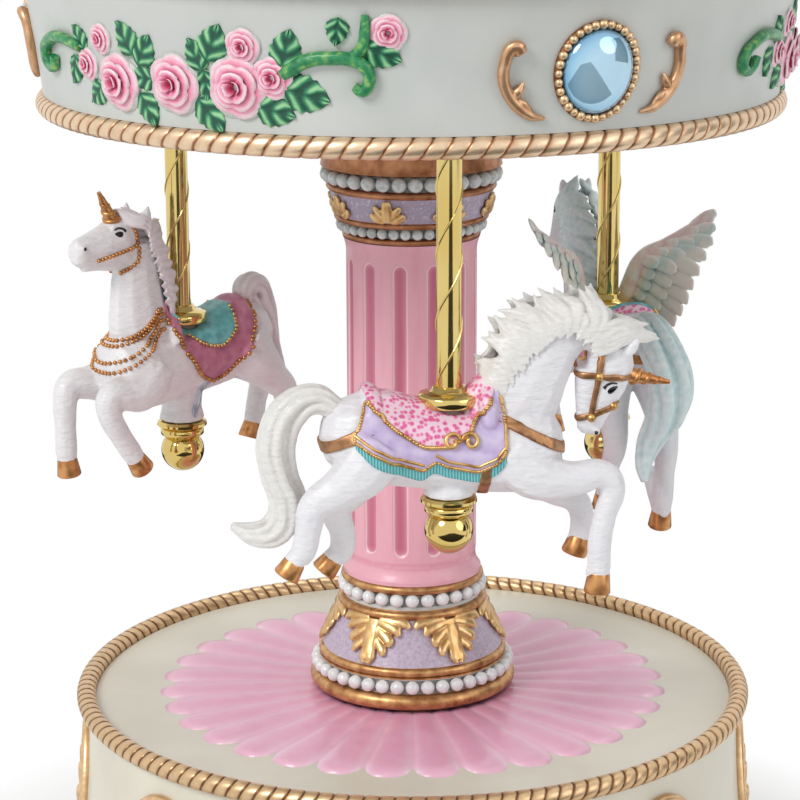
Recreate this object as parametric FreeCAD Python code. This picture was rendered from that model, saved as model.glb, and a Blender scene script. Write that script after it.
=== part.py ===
import FreeCAD, Part
import math
import os
from FreeCAD import Vector

# Carousel music box: a hollow base with a wind-up movement, a fixed fluted column, and a canopy
# that turns on a shaft through the column and carries three horses on poles.
# Millimetres, +Z up, origin on the axis at table level, front towards -Y.

# Levels
foot_height = 2.5
key_well_depth = 13.0
platform_z = 53.5
rosette_height = 1.5
pedestal_height = 26.0
shaft_length = 75.0
capital_height = 29.0
canopy_gap = 1.0

# Fits
running_clearance = 0.05
seat_clearance = 0.05
slip_clearance = 0.15

# Base
skirt_radius = 79.5
plinth_height = 8.0
neck_radius = 72.4
base_wall = 5.0
platform_thickness = 4.5
base_rope_radius = 72.9
base_rope_tube = 2.1
rosette_radius = 56.8
petal_count = 32
petal_depth = 3.2
skirt_panels = 8
scroll_tube = 1.1
canopy_scroll_tube = 0.8
foot_radius = 4.5
foot_count = 4
cover_thickness = 2.0
cover_screw_radius = 1.4
screw_head_height = 1.2

# Movement
bedplate_thickness = 2.5
bedplate_gap = 3.0
bedplate_length = 64.0
bedplate_width = 56.0
bedplate_centre_x = 12.0
bedplate_centre_y = 2.0
bedplate_inset = 5.0
barrel_radius = 12.0
barrel_height = 9.4
barrel_wall = 1.1
barrel_gap = 0.5
barrel_cover = 1.8
crown_teeth = 25
crown_module = 0.8
crown_face = 2.2
pinion_teeth = 10
cylinder_radius = 6.75
cylinder_length = 19.0
cylinder_shaft = 1.0
pin_height = 0.5
note_count = 18
comb_thickness = 0.8
comb_gap = 0.25
comb_depth = 16.0
comb_slot = 0.35
comb_slot_length = 8.5
wheel_teeth = 30
wheel_module = 0.5
wheel_face = 1.4
governor_teeth = 10
arbor_radius = 2.6
key_span = 22.0
key_thickness = 2.4
key_height = 9.0
spring_strip = 0.45
spring_pitch = 1.15
spring_eye = 0.6
drive_shaft_radius = 2.0

# Column
column_radius = 14.15
column_bore = 3.6
flute_count = 12
flute_radius = 3.0
flute_depth = 0.75
flute_angle = -100.0
flute_margin = 6.0
foot_ring_radius = 22.9
foot_ring_tube = 1.7
pedestal_top_radius = 15.8
pearl_radius = 1.5
pearl_pitch = 3.3
pedestal_leaf_count = 6
capital_leaf_count = 8
capital_leaf_angle = -107.0
leaf_thickness = 1.1
capital_foot_radius = 15.0
capital_top_radius = 23.0
small_pearl_radius = 1.15
disc_pearl_radius = 1.6

# Canopy
canopy_rope_radius = 77.2
canopy_rope_tube = 2.2
valance_foot_radius = 77.6
valance_top_radius = 82.2
valance_height = 27.0
valance_wall = 4.0
ceiling_thickness = 4.0
cornice_rope_tube = 2.4
roof_height = 26.0
roof_wall = 3.0
roof_ribs = 32
roof_groove = 1.1
finial_radius = 6.5
finial_height = 21.0
gem_radius = 7.8
gem_height = 3.4
bezel_width = 1.5
bead_radius = 0.75
gem_angle = -62.0
garland_angle = -122.0
rose_radius = 5.2
rose_rise = 2.4
hub_radius = 8.0
hub_height = 12.0

# Poles and horses
pole_circle = 56.8
pole_angle = -82.6
pole_radius = 2.5
rod_radius = 1.2
saddle_z = 132.3
top_flange_radius = 5.8
top_flange_height = 2.3
cup_radius = 5.65
cup_height = 3.0
ball_radius = 4.6
nut_radius = 3.2
nut_height = 2.4
clamp_spans = (18.7, 25.0, 23.0)
horse_turns = (0.0, -14.0, -22.0)

# Derived levels
cover_z = foot_height + key_well_depth
cover_top = cover_z + cover_thickness
bedplate_z = cover_top + bedplate_gap
bedplate_top = bedplate_z + bedplate_thickness
barrel_z = bedplate_top + barrel_gap
barrel_top = barrel_z + barrel_height
crown_base = barrel_top + barrel_cover
crown_addendum = 0.6 * crown_module
crown_pitch_radius = crown_teeth * crown_module / 2
pinion_pitch_radius = pinion_teeth * crown_module / 2
crown_tip = crown_base + 2.2 * crown_module
cylinder_z = crown_tip - crown_addendum + pinion_pitch_radius
platform_under = platform_z - platform_thickness
rosette_top = platform_z + rosette_height
pedestal_top = rosette_top + pedestal_height
capital_z = pedestal_top + shaft_length
capital_top = capital_z + capital_height
ceiling_z = capital_top + canopy_gap
ceiling_top = ceiling_z + ceiling_thickness
base_rope_z = platform_z + 0.5
canopy_rope_z = ceiling_z + 0.2
valance_top = canopy_rope_z + canopy_rope_tube + valance_height
cornice_z = valance_top + 0.6 * cornice_rope_tube
cornice_radius = valance_top_radius + 0.8
roof_top = cornice_z + roof_height

axis = Vector(0, 0, 1)
origin = Vector(0, 0, 0)
nodes = {}


def revolve(points):
    """A solid turned about Z from (radius, z) points, with (radius, z, 'via') marking an arc's middle."""
    edges = []
    loop = points + [points[0]]
    k = 0
    while k < len(loop) - 1:
        start = Vector(loop[k][0], 0, loop[k][1])
        if len(loop[k + 1]) == 3:
            middle = Vector(loop[k + 1][0], 0, loop[k + 1][1])
            end = Vector(loop[k + 2][0], 0, loop[k + 2][1])
            edges.append(Part.Arc(start, middle, end).toShape())
            k += 2
        else:
            end = Vector(loop[k + 1][0], 0, loop[k + 1][1])
            edges.append(Part.LineSegment(start, end).toShape())
            k += 1
    return Part.Face(Part.Wire(edges)).revolve(origin, axis, 360)


def ring(radius, tube, z):
    return Part.makeTorus(radius, tube, Vector(0, 0, z))


def rod(radius, z_low, z_high, x=0.0, y=0.0):
    return Part.makeCylinder(radius, z_high - z_low, Vector(x, y, z_low))


def block(x0, x1, y0, y1, z0, z1):
    return Part.makeBox(x1 - x0, y1 - y0, z1 - z0, Vector(x0, y0, z0))


def turned(shape, angle):
    copy = shape.copy()
    copy.rotate(origin, axis, angle)
    return copy


def spread(shape, count, start=0.0):
    return [turned(shape, start + 360.0 * k / count) for k in range(count)]


def group(shapes):
    return Part.makeCompound(shapes)


def fused(shapes):
    whole = shapes[0].multiFuse(shapes[1:]) if len(shapes) > 1 else shapes[0]
    return whole.Solids[0] if len(whole.Solids) == 1 else whole


def prism(points, direction):
    """A flat outline of 3-D points pushed along a direction."""
    outline = [Vector(*p) for p in points]
    return Part.Face(Part.makePolygon(outline + [outline[0]])).extrude(Vector(*direction))


def tooth_outline(teeth, module, addendum, dedendum, share):
    """Spur gear outline with involute flanks; share is the tooth's part of its pitch at the pitch circle."""
    pitch_radius = teeth * module / 2
    base_radius = pitch_radius * math.cos(math.radians(20))
    tip = pitch_radius + addendum
    root = pitch_radius - dedendum

    def spin(radius):
        if radius <= base_radius:
            return 0.0
        angle = math.acos(base_radius / radius)
        return math.tan(angle) - angle

    half = math.pi / teeth * share
    radii = [root] + [max(root, base_radius) + (tip - max(root, base_radius)) * k / 3 for k in range(4)]
    radii = radii[1:] if root >= base_radius else radii
    flank = [(r, half + spin(pitch_radius) - spin(r)) for r in radii]
    points = []
    for k in range(teeth):
        middle = 2 * math.pi * k / teeth
        for r, a in flank:
            points.append((r * math.cos(middle - a), r * math.sin(middle - a)))
        for r, a in reversed(flank):
            points.append((r * math.cos(middle + a), r * math.sin(middle + a)))
    return points


def spur_along_x(teeth, module, face, x0, y, z, phase, share=0.42):
    outline = tooth_outline(teeth, module, 0.6 * module, 1.0 * module, share)
    c, s = math.cos(math.radians(phase)), math.sin(math.radians(phase))
    points = [(x0, y + a * c - b * s, z + a * s + b * c) for a, b in outline]
    return prism(points, (face, 0, 0))


# Base

def skirt_profile_radius(z):
    """Outer radius of the skirt's hollow curve between the plinth and the neck."""
    low, high = skirt_low_z, neck_z
    share = min(max((z - low) / (high - low), 0.0), 1.0)
    return skirt_low_radius + (neck_radius - skirt_low_radius) * (1 - (1 - share) ** 1.8)


skirt_low_z = foot_height + plinth_height + 1.5
skirt_low_radius = skirt_radius - 2.2
neck_z = platform_z - 4.5
skirt_mid_z = 0.5 * (skirt_low_z + neck_z)


def base_solid():
    """The base's outside as a filled solid, used to trim what is seated on it."""
    return revolve([
        (0, foot_height), (skirt_radius - 1, foot_height), (skirt_radius, foot_height + 1),
        (skirt_radius, foot_height + plinth_height), (skirt_low_radius, skirt_low_z),
        (skirt_profile_radius(skirt_mid_z), skirt_mid_z, "via"), (neck_radius, neck_z),
        (neck_radius, platform_z - 1.0), (neck_radius - 1.0, platform_z), (0, platform_z)])


def cover_screw_places():
    reach = skirt_radius - base_wall - 12.0
    return [(reach * math.cos(a), reach * math.sin(a))
            for a in [math.radians(45 + 90 * k) for k in range(4)]]


def bedplate_screw_places():
    reach_x = bedplate_length / 2 - bedplate_inset
    reach_y = bedplate_width / 2 - bedplate_inset
    return [(bedplate_centre_x + sx * reach_x, bedplate_centre_y + sy * reach_y)
            for sx in (-1, 1) for sy in (-1, 1)]


cavity_radius = neck_radius - base_wall
cover_radius = cavity_radius - slip_clearance
bush_radius = drive_shaft_radius + 2.2


def build_base():
    hollow = rod(cavity_radius, foot_height - 1, platform_under)
    shell = base_solid().cut(hollow)
    shell = shell.cut(rod(bush_radius + seat_clearance, platform_under - 1, platform_z + 1))
    bosses = [rod(3.6, cover_top, platform_under, x, y) for x, y in cover_screw_places()]
    bosses += [rod(3.4, bedplate_top, platform_under, x, y) for x, y in bedplate_screw_places()]
    shell = fused([shell] + bosses)
    holes = [rod(cover_screw_radius, cover_top - 1, cover_top + 8, x, y) for x, y in cover_screw_places()]
    holes += [rod(cover_screw_radius, bedplate_top - 1, bedplate_top + 8, x, y)
              for x, y in bedplate_screw_places()]
    shell = shell.cut(group(holes))
    nodes["base_shell"] = shell.cut(ring(base_rope_radius, base_rope_tube + seat_clearance, base_rope_z))
    nodes["base_rope"] = ring(base_rope_radius, base_rope_tube, base_rope_z)

    foot_reach = skirt_radius - foot_radius - 1.2
    foot = Part.makeCone(foot_radius - 0.6, foot_radius, foot_height, Vector(foot_reach, 0, 0))
    nodes["feet"] = group(spread(foot, foot_count, 45))

    cover = rod(cover_radius, cover_z, cover_top).cut(rod(arbor_radius + 1.0, cover_z - 1, cover_top + 1))
    slots = [rod(1.6, cover_z - 1, cover_top + 1, 30 * math.cos(a), 30 * math.sin(a))
             for a in [math.radians(30 * k) for k in range(12)]]
    holes = [rod(cover_screw_radius + slip_clearance, cover_z - 1, cover_top + 1, x, y)
             for x, y in cover_screw_places()]
    nodes["bottom_cover"] = cover.cut(group(slots + holes))
    nodes["cover_screws"] = group([screw(x, y, cover_z, cover_top + 6) for x, y in cover_screw_places()])


def screw(x, y, z_seat, z_tip):
    """A pan-head screw driven upwards: its head lies under the seat."""
    head = revolve([(0, -screw_head_height), (1.8, -screw_head_height), (2.5, -0.5), (2.5, 0), (0, 0)])
    head = head.cut(block(-0.35, 0.35, -3, 3, -screw_head_height - 1, -screw_head_height + 0.6))
    shank = rod(cover_screw_radius - 0.05, -0.3, z_tip - z_seat)
    whole = head.fuse(shank).removeSplitter()
    whole.translate(Vector(x, y, z_seat))
    return whole


def petal_edge(radius, depth, count, z):
    """A scalloped outline: one arc per petal, meeting in notches."""
    edges = []
    for k in range(count):
        angles = [2 * math.pi * (k + s) / count for s in (0, 0.5, 1)]
        radii = (radius - depth, radius, radius - depth)
        points = [Vector(r * math.cos(a), r * math.sin(a), z) for r, a in zip(radii, angles)]
        edges.append(Part.Arc(*points).toShape())
    return Part.Face(Part.Wire(edges))


def build_rosette():
    slab = petal_edge(rosette_radius, petal_depth, petal_count, platform_z)
    slab = slab.extrude(Vector(0, 0, rosette_height + 1))
    crown = revolve([(0, platform_z - 1), (rosette_radius + 1, platform_z - 1),
                     (rosette_radius + 1, platform_z + 0.5 * rosette_height),
                     (foot_ring_radius + 3, rosette_top), (0, rosette_top)])
    disc = slab.common(crown)
    groove = Part.makeCone(0.25, 0.75, rosette_radius, Vector(foot_ring_radius + 2, 0, rosette_top + 0.1),
                           Vector(1, 0, -0.5 * rosette_height / (rosette_radius - foot_ring_radius)))
    disc = disc.cut(group(spread(groove, petal_count)))
    nodes["petal_rosette"] = disc.cut(rod(bush_radius + 1.0, platform_z - 1, rosette_top + 1))


def on_wall(profile, angle, z, lift=0.0):
    """A point on a turned wall, lifted off it; angle in degrees about Z."""
    r = profile(z) + lift
    a = math.radians(angle)
    return Vector(r * math.cos(a), r * math.sin(a), z)


def relief_tube(profile, places, tube):
    """A round moulding that follows (angle, z) places on a turned wall."""
    points = [on_wall(profile, a, z, 0.1 * tube) for a, z in places]
    curve = Part.BSplineCurve()
    curve.interpolate(points)
    path = Part.Wire(curve.toShape())
    start = Part.Circle(points[0], curve.tangent(curve.FirstParameter)[0], tube)
    return path.makePipeShell([Part.Wire(start.toShape())], True, False)


def volute(centre_angle, centre_z, degrees_per_mm, size, turns, start, hand):
    """Places along a spiral that closes in on its centre."""
    places = []
    steps = int(10 * turns)
    for k in range(steps + 1):
        share = k / steps
        reach = size * (1 - 0.6 * share)
        a = math.radians(start + hand * 360 * turns * share)
        places.append((centre_angle + degrees_per_mm * reach * math.cos(a), centre_z + reach * math.sin(a)))
    return places


def build_skirt_scrolls():
    """Gold arches along the skirt, each ending in a volute, with a bead between two of them."""
    trim = base_solid()
    span = 360.0 / skirt_panels
    degrees_per_mm = math.degrees(1 / skirt_low_radius)
    size = 5.5
    low = skirt_low_z + size + 2.0
    top = neck_z - 3.0
    reach = 0.5 * span - degrees_per_mm * (size + 3.0)
    arch = [(-reach * math.cos(math.pi * k / 8), low + (top - low) * math.sin(math.pi * k / 8) ** 0.6)
            for k in range(9)]
    arch = arch[1:-1]
    left = volute(-reach - degrees_per_mm * 0.2, low, degrees_per_mm, size, 1.1, 20, -1)
    right = [(-a, z) for a, z in left]
    pieces = [relief_tube(skirt_profile_radius, list(reversed(left)), scroll_tube),
              relief_tube(skirt_profile_radius, right, scroll_tube),
              relief_tube(skirt_profile_radius, arch, scroll_tube)]
    bead = Part.makeSphere(2.2, on_wall(skirt_profile_radius, span / 2, low + 9.0, -0.6))
    panel = [piece.cut(trim) for piece in pieces + [bead]]
    nodes["skirt_scrolls"] = group([copy for piece in panel for copy in spread(piece, skirt_panels, -90)])


# Movement

cylinder_x = barrel_radius + 2.4
cylinder_end = cylinder_x + cylinder_length
wheel_x = cylinder_end + 0.8
post_near_x = barrel_radius + 0.6
post_thickness = 1.2
post_far_x = wheel_x + wheel_face + 0.8
comb_y = cylinder_radius + pin_height + comb_gap
wheel_pitch_radius = wheel_teeth * wheel_module / 2
governor_y = -(wheel_teeth + governor_teeth) * wheel_module / 2 - 0.05
governor_shaft = 0.7


def build_bedplate():
    x0 = bedplate_centre_x - bedplate_length / 2
    y0 = bedplate_centre_y - bedplate_width / 2
    plate = block(x0, x0 + bedplate_length, y0, y0 + bedplate_width, bedplate_z, bedplate_top)
    plate = plate.makeFillet(bedplate_inset - 1, [e for e in plate.Edges if abs(e.tangentAt(0).z) > 0.9])
    top = cylinder_z + cylinder_shaft + 2.0
    parts = [plate]
    for x in (post_near_x, post_far_x):
        parts.append(block(x, x + post_thickness, -3.2, 3.2, bedplate_top, top))
    pad_y = comb_y + comb_slot_length + 1.0
    parts.append(block(cylinder_x, cylinder_end, pad_y, comb_y + comb_depth,
                       bedplate_top, cylinder_z - comb_thickness / 2))
    whole = fused(parts)
    bores = [Part.makeCylinder(cylinder_shaft + running_clearance, post_far_x + 10,
                               Vector(0, 0, cylinder_z), Vector(1, 0, 0)),
             rod(arbor_radius + running_clearance, bedplate_z - 1, bedplate_top + 1)]
    bores += [rod(cover_screw_radius + slip_clearance, bedplate_z - 1, bedplate_top + 1, x, y)
              for x, y in bedplate_screw_places()]
    bores += [rod(0.8, cylinder_z - 6, cylinder_z, x, comb_screw_y) for x in comb_screw_xs]
    nodes["bedplate"] = whole.cut(group(bores))
    nodes["bedplate_screws"] = group([screw(x, y, bedplate_z, bedplate_top + 6)
                                      for x, y in bedplate_screw_places()])


comb_screw_y = comb_y + 0.5 * (comb_slot_length + 1.0 + comb_depth)
comb_screw_xs = (cylinder_x + 4.0, cylinder_end - 4.0)


def build_comb():
    z0 = cylinder_z - comb_thickness / 2
    z1 = cylinder_z + comb_thickness / 2
    comb = block(cylinder_x, cylinder_end, comb_y, comb_y + comb_depth, z0, z1)
    pitch = cylinder_length / note_count
    slots = [block(cylinder_x + pitch * k - comb_slot / 2, cylinder_x + pitch * k + comb_slot / 2,
                   comb_y - 1, comb_y + comb_slot_length, z0 - 1, z1 + 1) for k in range(1, note_count)]
    holes = [rod(1.0, z0 - 1, z1 + 1, x, comb_screw_y) for x in comb_screw_xs]
    nodes["tone_comb"] = comb.cut(group(slots + holes))
    screws = []
    for x in comb_screw_xs:
        head = rod(1.7, z1, z1 + 1.0, x, comb_screw_y)
        head = head.cut(block(x - 2, x + 2, comb_screw_y - 0.2, comb_screw_y + 0.2, z1 + 0.5, z1 + 2))
        screws.append(head.fuse(rod(0.75, z0 - 4, z1 + 0.2, x, comb_screw_y)).removeSplitter())
    nodes["comb_screws"] = group(screws)


def build_cylinder():
    def along(radius, x0, x1):
        return Part.makeCylinder(radius, x1 - x0, Vector(x0, 0, cylinder_z), Vector(1, 0, 0))
    pinion_x = crown_pitch_radius - crown_face / 2
    pitch = cylinder_length / note_count
    pins = []
    for k in range(note_count):
        for m in range(4):
            a = math.radians(137.5 * k + 90 * m + 17 * (k * m % 5))
            out = Vector(0, math.cos(a), math.sin(a))
            foot = Vector(cylinder_x + pitch * (k + 0.5), 0, cylinder_z) + out * (cylinder_radius - 0.4)
            pins.append(Part.makeCylinder(0.22, pin_height + 0.4, foot, out))
    parts = [along(cylinder_radius, cylinder_x, cylinder_end),
             along(cylinder_shaft, pinion_x - 0.4, post_far_x + post_thickness + 0.6),
             spur_along_x(pinion_teeth, crown_module, crown_face, pinion_x, 0, cylinder_z, pinion_phase),
             spur_along_x(wheel_teeth, wheel_module, wheel_face, wheel_x, 0, cylinder_z, 0.0)]
    nodes["melody_cylinder"] = fused(parts + pins)


pinion_phase = 90.0


def build_governor():
    x1 = wheel_x - 0.6
    x0 = x1 - 9.0
    top = cylinder_z + 6.0
    y1 = -(cylinder_radius + pin_height + 0.6)
    housing = block(x0, x1, governor_y - 7.0, y1, bedplate_top, top)
    housing = housing.makeFillet(1.0, [e for e in housing.Edges if abs(e.tangentAt(0).x) > 0.9])
    socket = Part.makeCylinder(governor_shaft + running_clearance, 5.0,
                               Vector(x1 - 4.0, governor_y, cylinder_z), Vector(1, 0, 0))
    nodes["governor_housing"] = housing.cut(socket)
    shaft = Part.makeCylinder(governor_shaft, wheel_x + wheel_face + 0.3 - (x1 - 3.8),
                              Vector(x1 - 3.8, governor_y, cylinder_z), Vector(1, 0, 0))
    phase = 0.0 if governor_teeth % 2 else 180.0 / governor_teeth
    gear = spur_along_x(governor_teeth, wheel_module, wheel_face, wheel_x, governor_y, cylinder_z, phase)
    nodes["governor_wheel"] = fused([gear, shaft])


def build_barrel():
    inner = barrel_radius - barrel_wall
    drum = rod(barrel_radius, barrel_z, barrel_top)
    drum = drum.cut(rod(inner, barrel_z + barrel_wall, barrel_top + 1))
    nodes["spring_barrel"] = drum.cut(rod(arbor_radius + running_clearance, barrel_z - 1, barrel_top))
    plate = rod(barrel_radius, barrel_top, crown_base)
    boss = rod(drive_shaft_radius + 2.4, crown_base - 0.5, cylinder_z + 1.5)
    pitch = 2 * math.pi * crown_pitch_radius / crown_teeth
    foot = 0.5 * pitch * 0.62
    tip = 0.5 * pitch * 0.28
    r0 = crown_pitch_radius - crown_face / 2
    tooth = prism([(r0, -foot, crown_base - 0.3), (r0, foot, crown_base - 0.3),
                   (r0, tip, crown_tip), (r0, -tip, crown_tip)], (crown_face, 0, 0))
    cover = fused([plate, boss] + spread(tooth, crown_teeth, 180.0 / crown_teeth))
    nodes["barrel_cover"] = cover.cut(rod(drive_shaft_radius, barrel_top + 0.6, cylinder_z + 3))

    strip = []
    radius = arbor_radius + spring_eye
    turns = int((inner - slip_clearance - spring_strip - radius) / spring_pitch)
    low = barrel_z + barrel_wall + 0.3
    high = barrel_top - 0.3
    for k in range(2 * turns):
        shift = 0.0 if k % 2 == 0 else -0.5 * spring_pitch
        r = radius + 0.5 * spring_pitch * k
        half = rod(r + spring_strip, low, high).cut(rod(r, low - 1, high + 1))
        side = 1 if k % 2 == 0 else -1
        keep = block(-40, 40, min(0, 40 * side), max(0, 40 * side), low - 1, high + 1)
        half = half.common(keep)
        half.translate(Vector(shift, 0, 0))
        strip.append(half)
    nodes["mainspring"] = fused(strip)


def build_winder():
    key_z = foot_height + 1.2
    stem_top = cover_z - 0.8
    arbor_low = key_z + key_height - 2.0
    arbor = rod(arbor_radius, arbor_low, barrel_top - 1.0)
    nodes["winding_arbor"] = arbor
    hub = rod(arbor_radius + 1.8, key_z + 2.0, stem_top)
    half = key_span / 2
    wing = prism([(0, -key_thickness / 2, key_z), (half - 3, -key_thickness / 2, key_z),
                  (half, -key_thickness / 2, key_z + 2.5),
                  (half, -key_thickness / 2, key_z + key_height - 3.0),
                  (half - 3, -key_thickness / 2, key_z + key_height - 1.0),
                  (0, -key_thickness / 2, key_z + key_height - 3.0)], (0, key_thickness, 0))
    eye = Part.makeCylinder(2.0, 10, Vector(half - 4.6, -5, key_z + 0.5 * key_height - 0.4), Vector(0, 1, 0))
    wing = wing.cut(eye)
    key = fused([hub] + spread(wing, 2))
    nodes["winding_key"] = key.cut(rod(arbor_radius, arbor_low, stem_top + 1))


def build_drive_shaft():
    nodes["drive_shaft"] = rod(drive_shaft_radius, barrel_top + 0.6, ceiling_top + hub_height - 2)

    def bush(z_low, z_high, flange):
        whole = fused([rod(bush_radius, z_low, z_high), rod(bush_radius + 1.4, flange, flange + 1.2)])
        return whole.cut(rod(drive_shaft_radius + running_clearance, z_low - 1, z_high + 1))
    nodes["base_bush"] = bush(platform_under - 1.2, rosette_top, platform_under - 1.2)
    nodes["column_bush"] = bush(capital_top - 9.0, capital_top - 0.2, capital_top - 1.4)


# Column

spigot_radius = column_radius - 4.0
spigot_height = 3.0
frieze_low = rosette_top + 9.0
frieze_high = rosette_top + 18.6


def frieze_radius(z):
    share = (z - frieze_low) / (frieze_high - frieze_low)
    return 20.0 + (pedestal_top_radius - 20.0) * share + foot_ring_radius - 22.9


def pearl_string(radius, z, pearl, pitch):
    count = int(2 * math.pi * radius / pitch)
    return spread(Part.makeSphere(pearl, Vector(radius, 0, z)), count)


def bead_profile(radius, tube, z):
    return ring(radius - tube, tube, z)


def build_pedestal():
    top = pedestal_top
    low_pearl_r = foot_ring_radius - 0.2 - pearl_radius
    low_pearl_z = rosette_top + 2 * foot_ring_tube + pearl_radius + 0.1
    high_pearl_r = pedestal_top_radius + 0.8 - pearl_radius
    high_pearl_z = frieze_high + 3.6 + 0.6
    core = revolve([
        (0, rosette_top), (foot_ring_radius - foot_ring_tube, rosette_top),
        (foot_ring_radius, rosette_top + foot_ring_tube, "via"),
        (foot_ring_radius - foot_ring_tube, rosette_top + 2 * foot_ring_tube),
        (low_pearl_r - 0.4, rosette_top + 2 * foot_ring_tube), (low_pearl_r - 0.4, frieze_low - 2.0),
        (frieze_radius(frieze_low) + 0.4, frieze_low - 2.0),
        (frieze_radius(frieze_low) + 0.9, frieze_low - 1.0, "via"),
        (frieze_radius(frieze_low), frieze_low), (frieze_radius(frieze_high), frieze_high),
        (pedestal_top_radius + 0.8, frieze_high + 0.9, "via"),
        (frieze_radius(frieze_high), frieze_high + 1.8),
        (high_pearl_r, frieze_high + 1.8), (high_pearl_r - 0.4, top - 2.2),
        (pedestal_top_radius - 0.9, top - 2.0), (pedestal_top_radius, top - 1.0, "via"),
        (pedestal_top_radius - 0.9, top), (0, top)])
    pearls = pearl_string(low_pearl_r, low_pearl_z, pearl_radius, pearl_pitch)
    pearls += pearl_string(high_pearl_r, high_pearl_z, pearl_radius, pearl_pitch)
    for r, z in ((low_pearl_r, low_pearl_z), (high_pearl_r, high_pearl_z)):
        core = core.cut(ring(r, pearl_radius + seat_clearance, z))
    core = core.cut(rod(column_bore, rosette_top - 1, top + 1))
    core = core.cut(rod(spigot_radius + slip_clearance, top - spigot_height - slip_clearance, top + 1))
    nodes["pedestal"] = core.cut(rod(bush_radius + 1.0, rosette_top - 1, rosette_top + 2))
    nodes["pedestal_pearls"] = group(pearls)

    trim = Part.makeCone(frieze_radius(frieze_low), frieze_radius(frieze_high), frieze_high - frieze_low,
                         Vector(0, 0, frieze_low))
    leaves = leaf_row(trim, frieze_radius, frieze_low + 0.3, frieze_high - 0.1, pedestal_leaf_count,
                      -90 + 180.0 / pedestal_leaf_count, False)
    nodes["pedestal_leaves"] = group(leaves)


def lens(length, width, thickness):
    """A pointed blade that runs from the origin towards +Z, with its back 2 mm behind the origin."""
    edges = []
    for side in (1, -1):
        edges.append(Part.Arc(Vector(-2, 0, 0), Vector(-2, 0.5 * width * side, 0.55 * length),
                              Vector(-2, 0, length)).toShape())
    return Part.Face(Part.Wire(edges)).extrude(Vector(2 + thickness, 0, 0))


def leaf_row(trim, profile, z_low, z_high, count, start, upright):
    """Acanthus leaves round a frieze: lobes that fan out from a stem, with a raised rib down the middle."""
    height = z_high - z_low
    middle = 0.5 * (z_low + z_high)
    slope = math.degrees(math.atan((profile(z_low) - profile(z_high)) / height))
    blades = []
    for turn, share, lift in ((0, 1.0, 0.4), (32, 0.84, 0.2), (-32, 0.84, 0.2), (66, 0.66, 0.0),
                              (-66, 0.66, 0.0)):
        blade = lens(share * height, 0.36 * height, leaf_thickness + lift)
        blade.rotate(origin, Vector(1, 0, 0), turn)
        blades.append(blade)
    rib = Part.makeCone(0.16 * height, 0.05 * height, 0.86 * height, Vector(leaf_thickness, 0, 0))
    leaf = fused(blades + [rib])
    leaf.translate(Vector(0, 0, -0.5 * height))
    if not upright:
        leaf.rotate(origin, Vector(1, 0, 0), 180)
    leaf.rotate(origin, Vector(0, 1, 0), -slope)
    leaf.translate(Vector(profile(middle), 0, middle))
    leaf = leaf.common(rod(profile(middle) + 12, z_low, z_high)).cut(trim)
    return spread(leaf, count, start)


def build_shaft():
    low, high = pedestal_top, capital_z
    body = revolve([
        (0, low), (column_radius + 1.1, low), (column_radius + 1.1, low + 0.8),
        (column_radius + 0.25, low + 2.2, "via"), (column_radius, low + 5.0), (column_radius, high - 3.0),
        (column_radius + 0.2, high - 1.4, "via"), (column_radius + 0.7, high), (0, high)])
    centre = column_radius + flute_radius - flute_depth
    flute = rod(flute_radius, low + flute_margin + 2, high - flute_margin, centre)
    ends = [Part.makeSphere(flute_radius, Vector(centre, 0, z))
            for z in (low + flute_margin + 2, high - flute_margin)]
    body = body.cut(group(spread(fused([flute] + ends), flute_count, flute_angle)))
    spigots = [rod(spigot_radius, low - spigot_height, low + 1),
               rod(spigot_radius, high - 1, high + spigot_height)]
    body = fused([body] + spigots)
    nodes["column_shaft"] = body.cut(rod(column_bore, low - 10, high + 10))


def build_capital():
    low = capital_z
    top = capital_top
    pearl_a = (capital_foot_radius + 0.2, low + 2.6, small_pearl_radius)
    pearl_b = (capital_foot_radius + 3.1, low + 13.6, disc_pearl_radius)

    def frieze(z):
        return capital_foot_radius + 1.4 + 1.4 * (z - (low + 5.0)) / 5.4
    core = revolve([
        (0, low), (capital_foot_radius - 0.7, low), (capital_foot_radius, low + 0.7, "via"),
        (capital_foot_radius - 0.7, low + 1.4), (pearl_a[0], low + 1.4), (pearl_a[0], low + 3.6),
        (capital_foot_radius + 1.2, low + 3.8), (capital_foot_radius + 1.7, low + 4.4, "via"),
        (frieze(low + 5.0), low + 5.0), (frieze(low + 10.4), low + 10.4),
        (capital_foot_radius + 3.4, low + 11.1, "via"), (capital_foot_radius + 2.8, low + 11.8),
        (pearl_b[0], low + 12.0), (pearl_b[0], low + 15.2), (capital_foot_radius + 4.6, low + 15.6),
        (capital_foot_radius + 5.0, top - 6.0, "via"), (capital_top_radius, top - 1.5),
        (capital_top_radius, top), (0, top)])
    pearls = []
    for r, z, size in (pearl_a, pearl_b):
        core = core.cut(ring(r, size + seat_clearance, z))
        pearls += pearl_string(r, z, size, 2.15 * size)
    core = core.cut(rod(column_bore, low - 1, top + 1))
    core = core.cut(rod(spigot_radius + slip_clearance, low - 1, low + spigot_height + slip_clearance))
    core = core.cut(rod(bush_radius + seat_clearance, top - 9.2, top + 1))
    nodes["capital"] = core.cut(rod(bush_radius + 1.4 + seat_clearance, top - 1.4 - seat_clearance, top + 1))
    nodes["capital_pearls"] = group(pearls)
    trim = Part.makeCone(frieze(low + 5.0), frieze(low + 10.4), 5.4, Vector(0, 0, low + 5.0))
    leaves = leaf_row(trim, frieze, low + 5.1, low + 10.2, capital_leaf_count, capital_leaf_angle, True)
    nodes["capital_leaves"] = group(leaves)


# Canopy

def valance_radius(z):
    share = (z - canopy_rope_z) / (valance_top - canopy_rope_z)
    return valance_foot_radius + (valance_top_radius - valance_foot_radius) * (0.55 * share + 0.45 * share ** 2)


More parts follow.
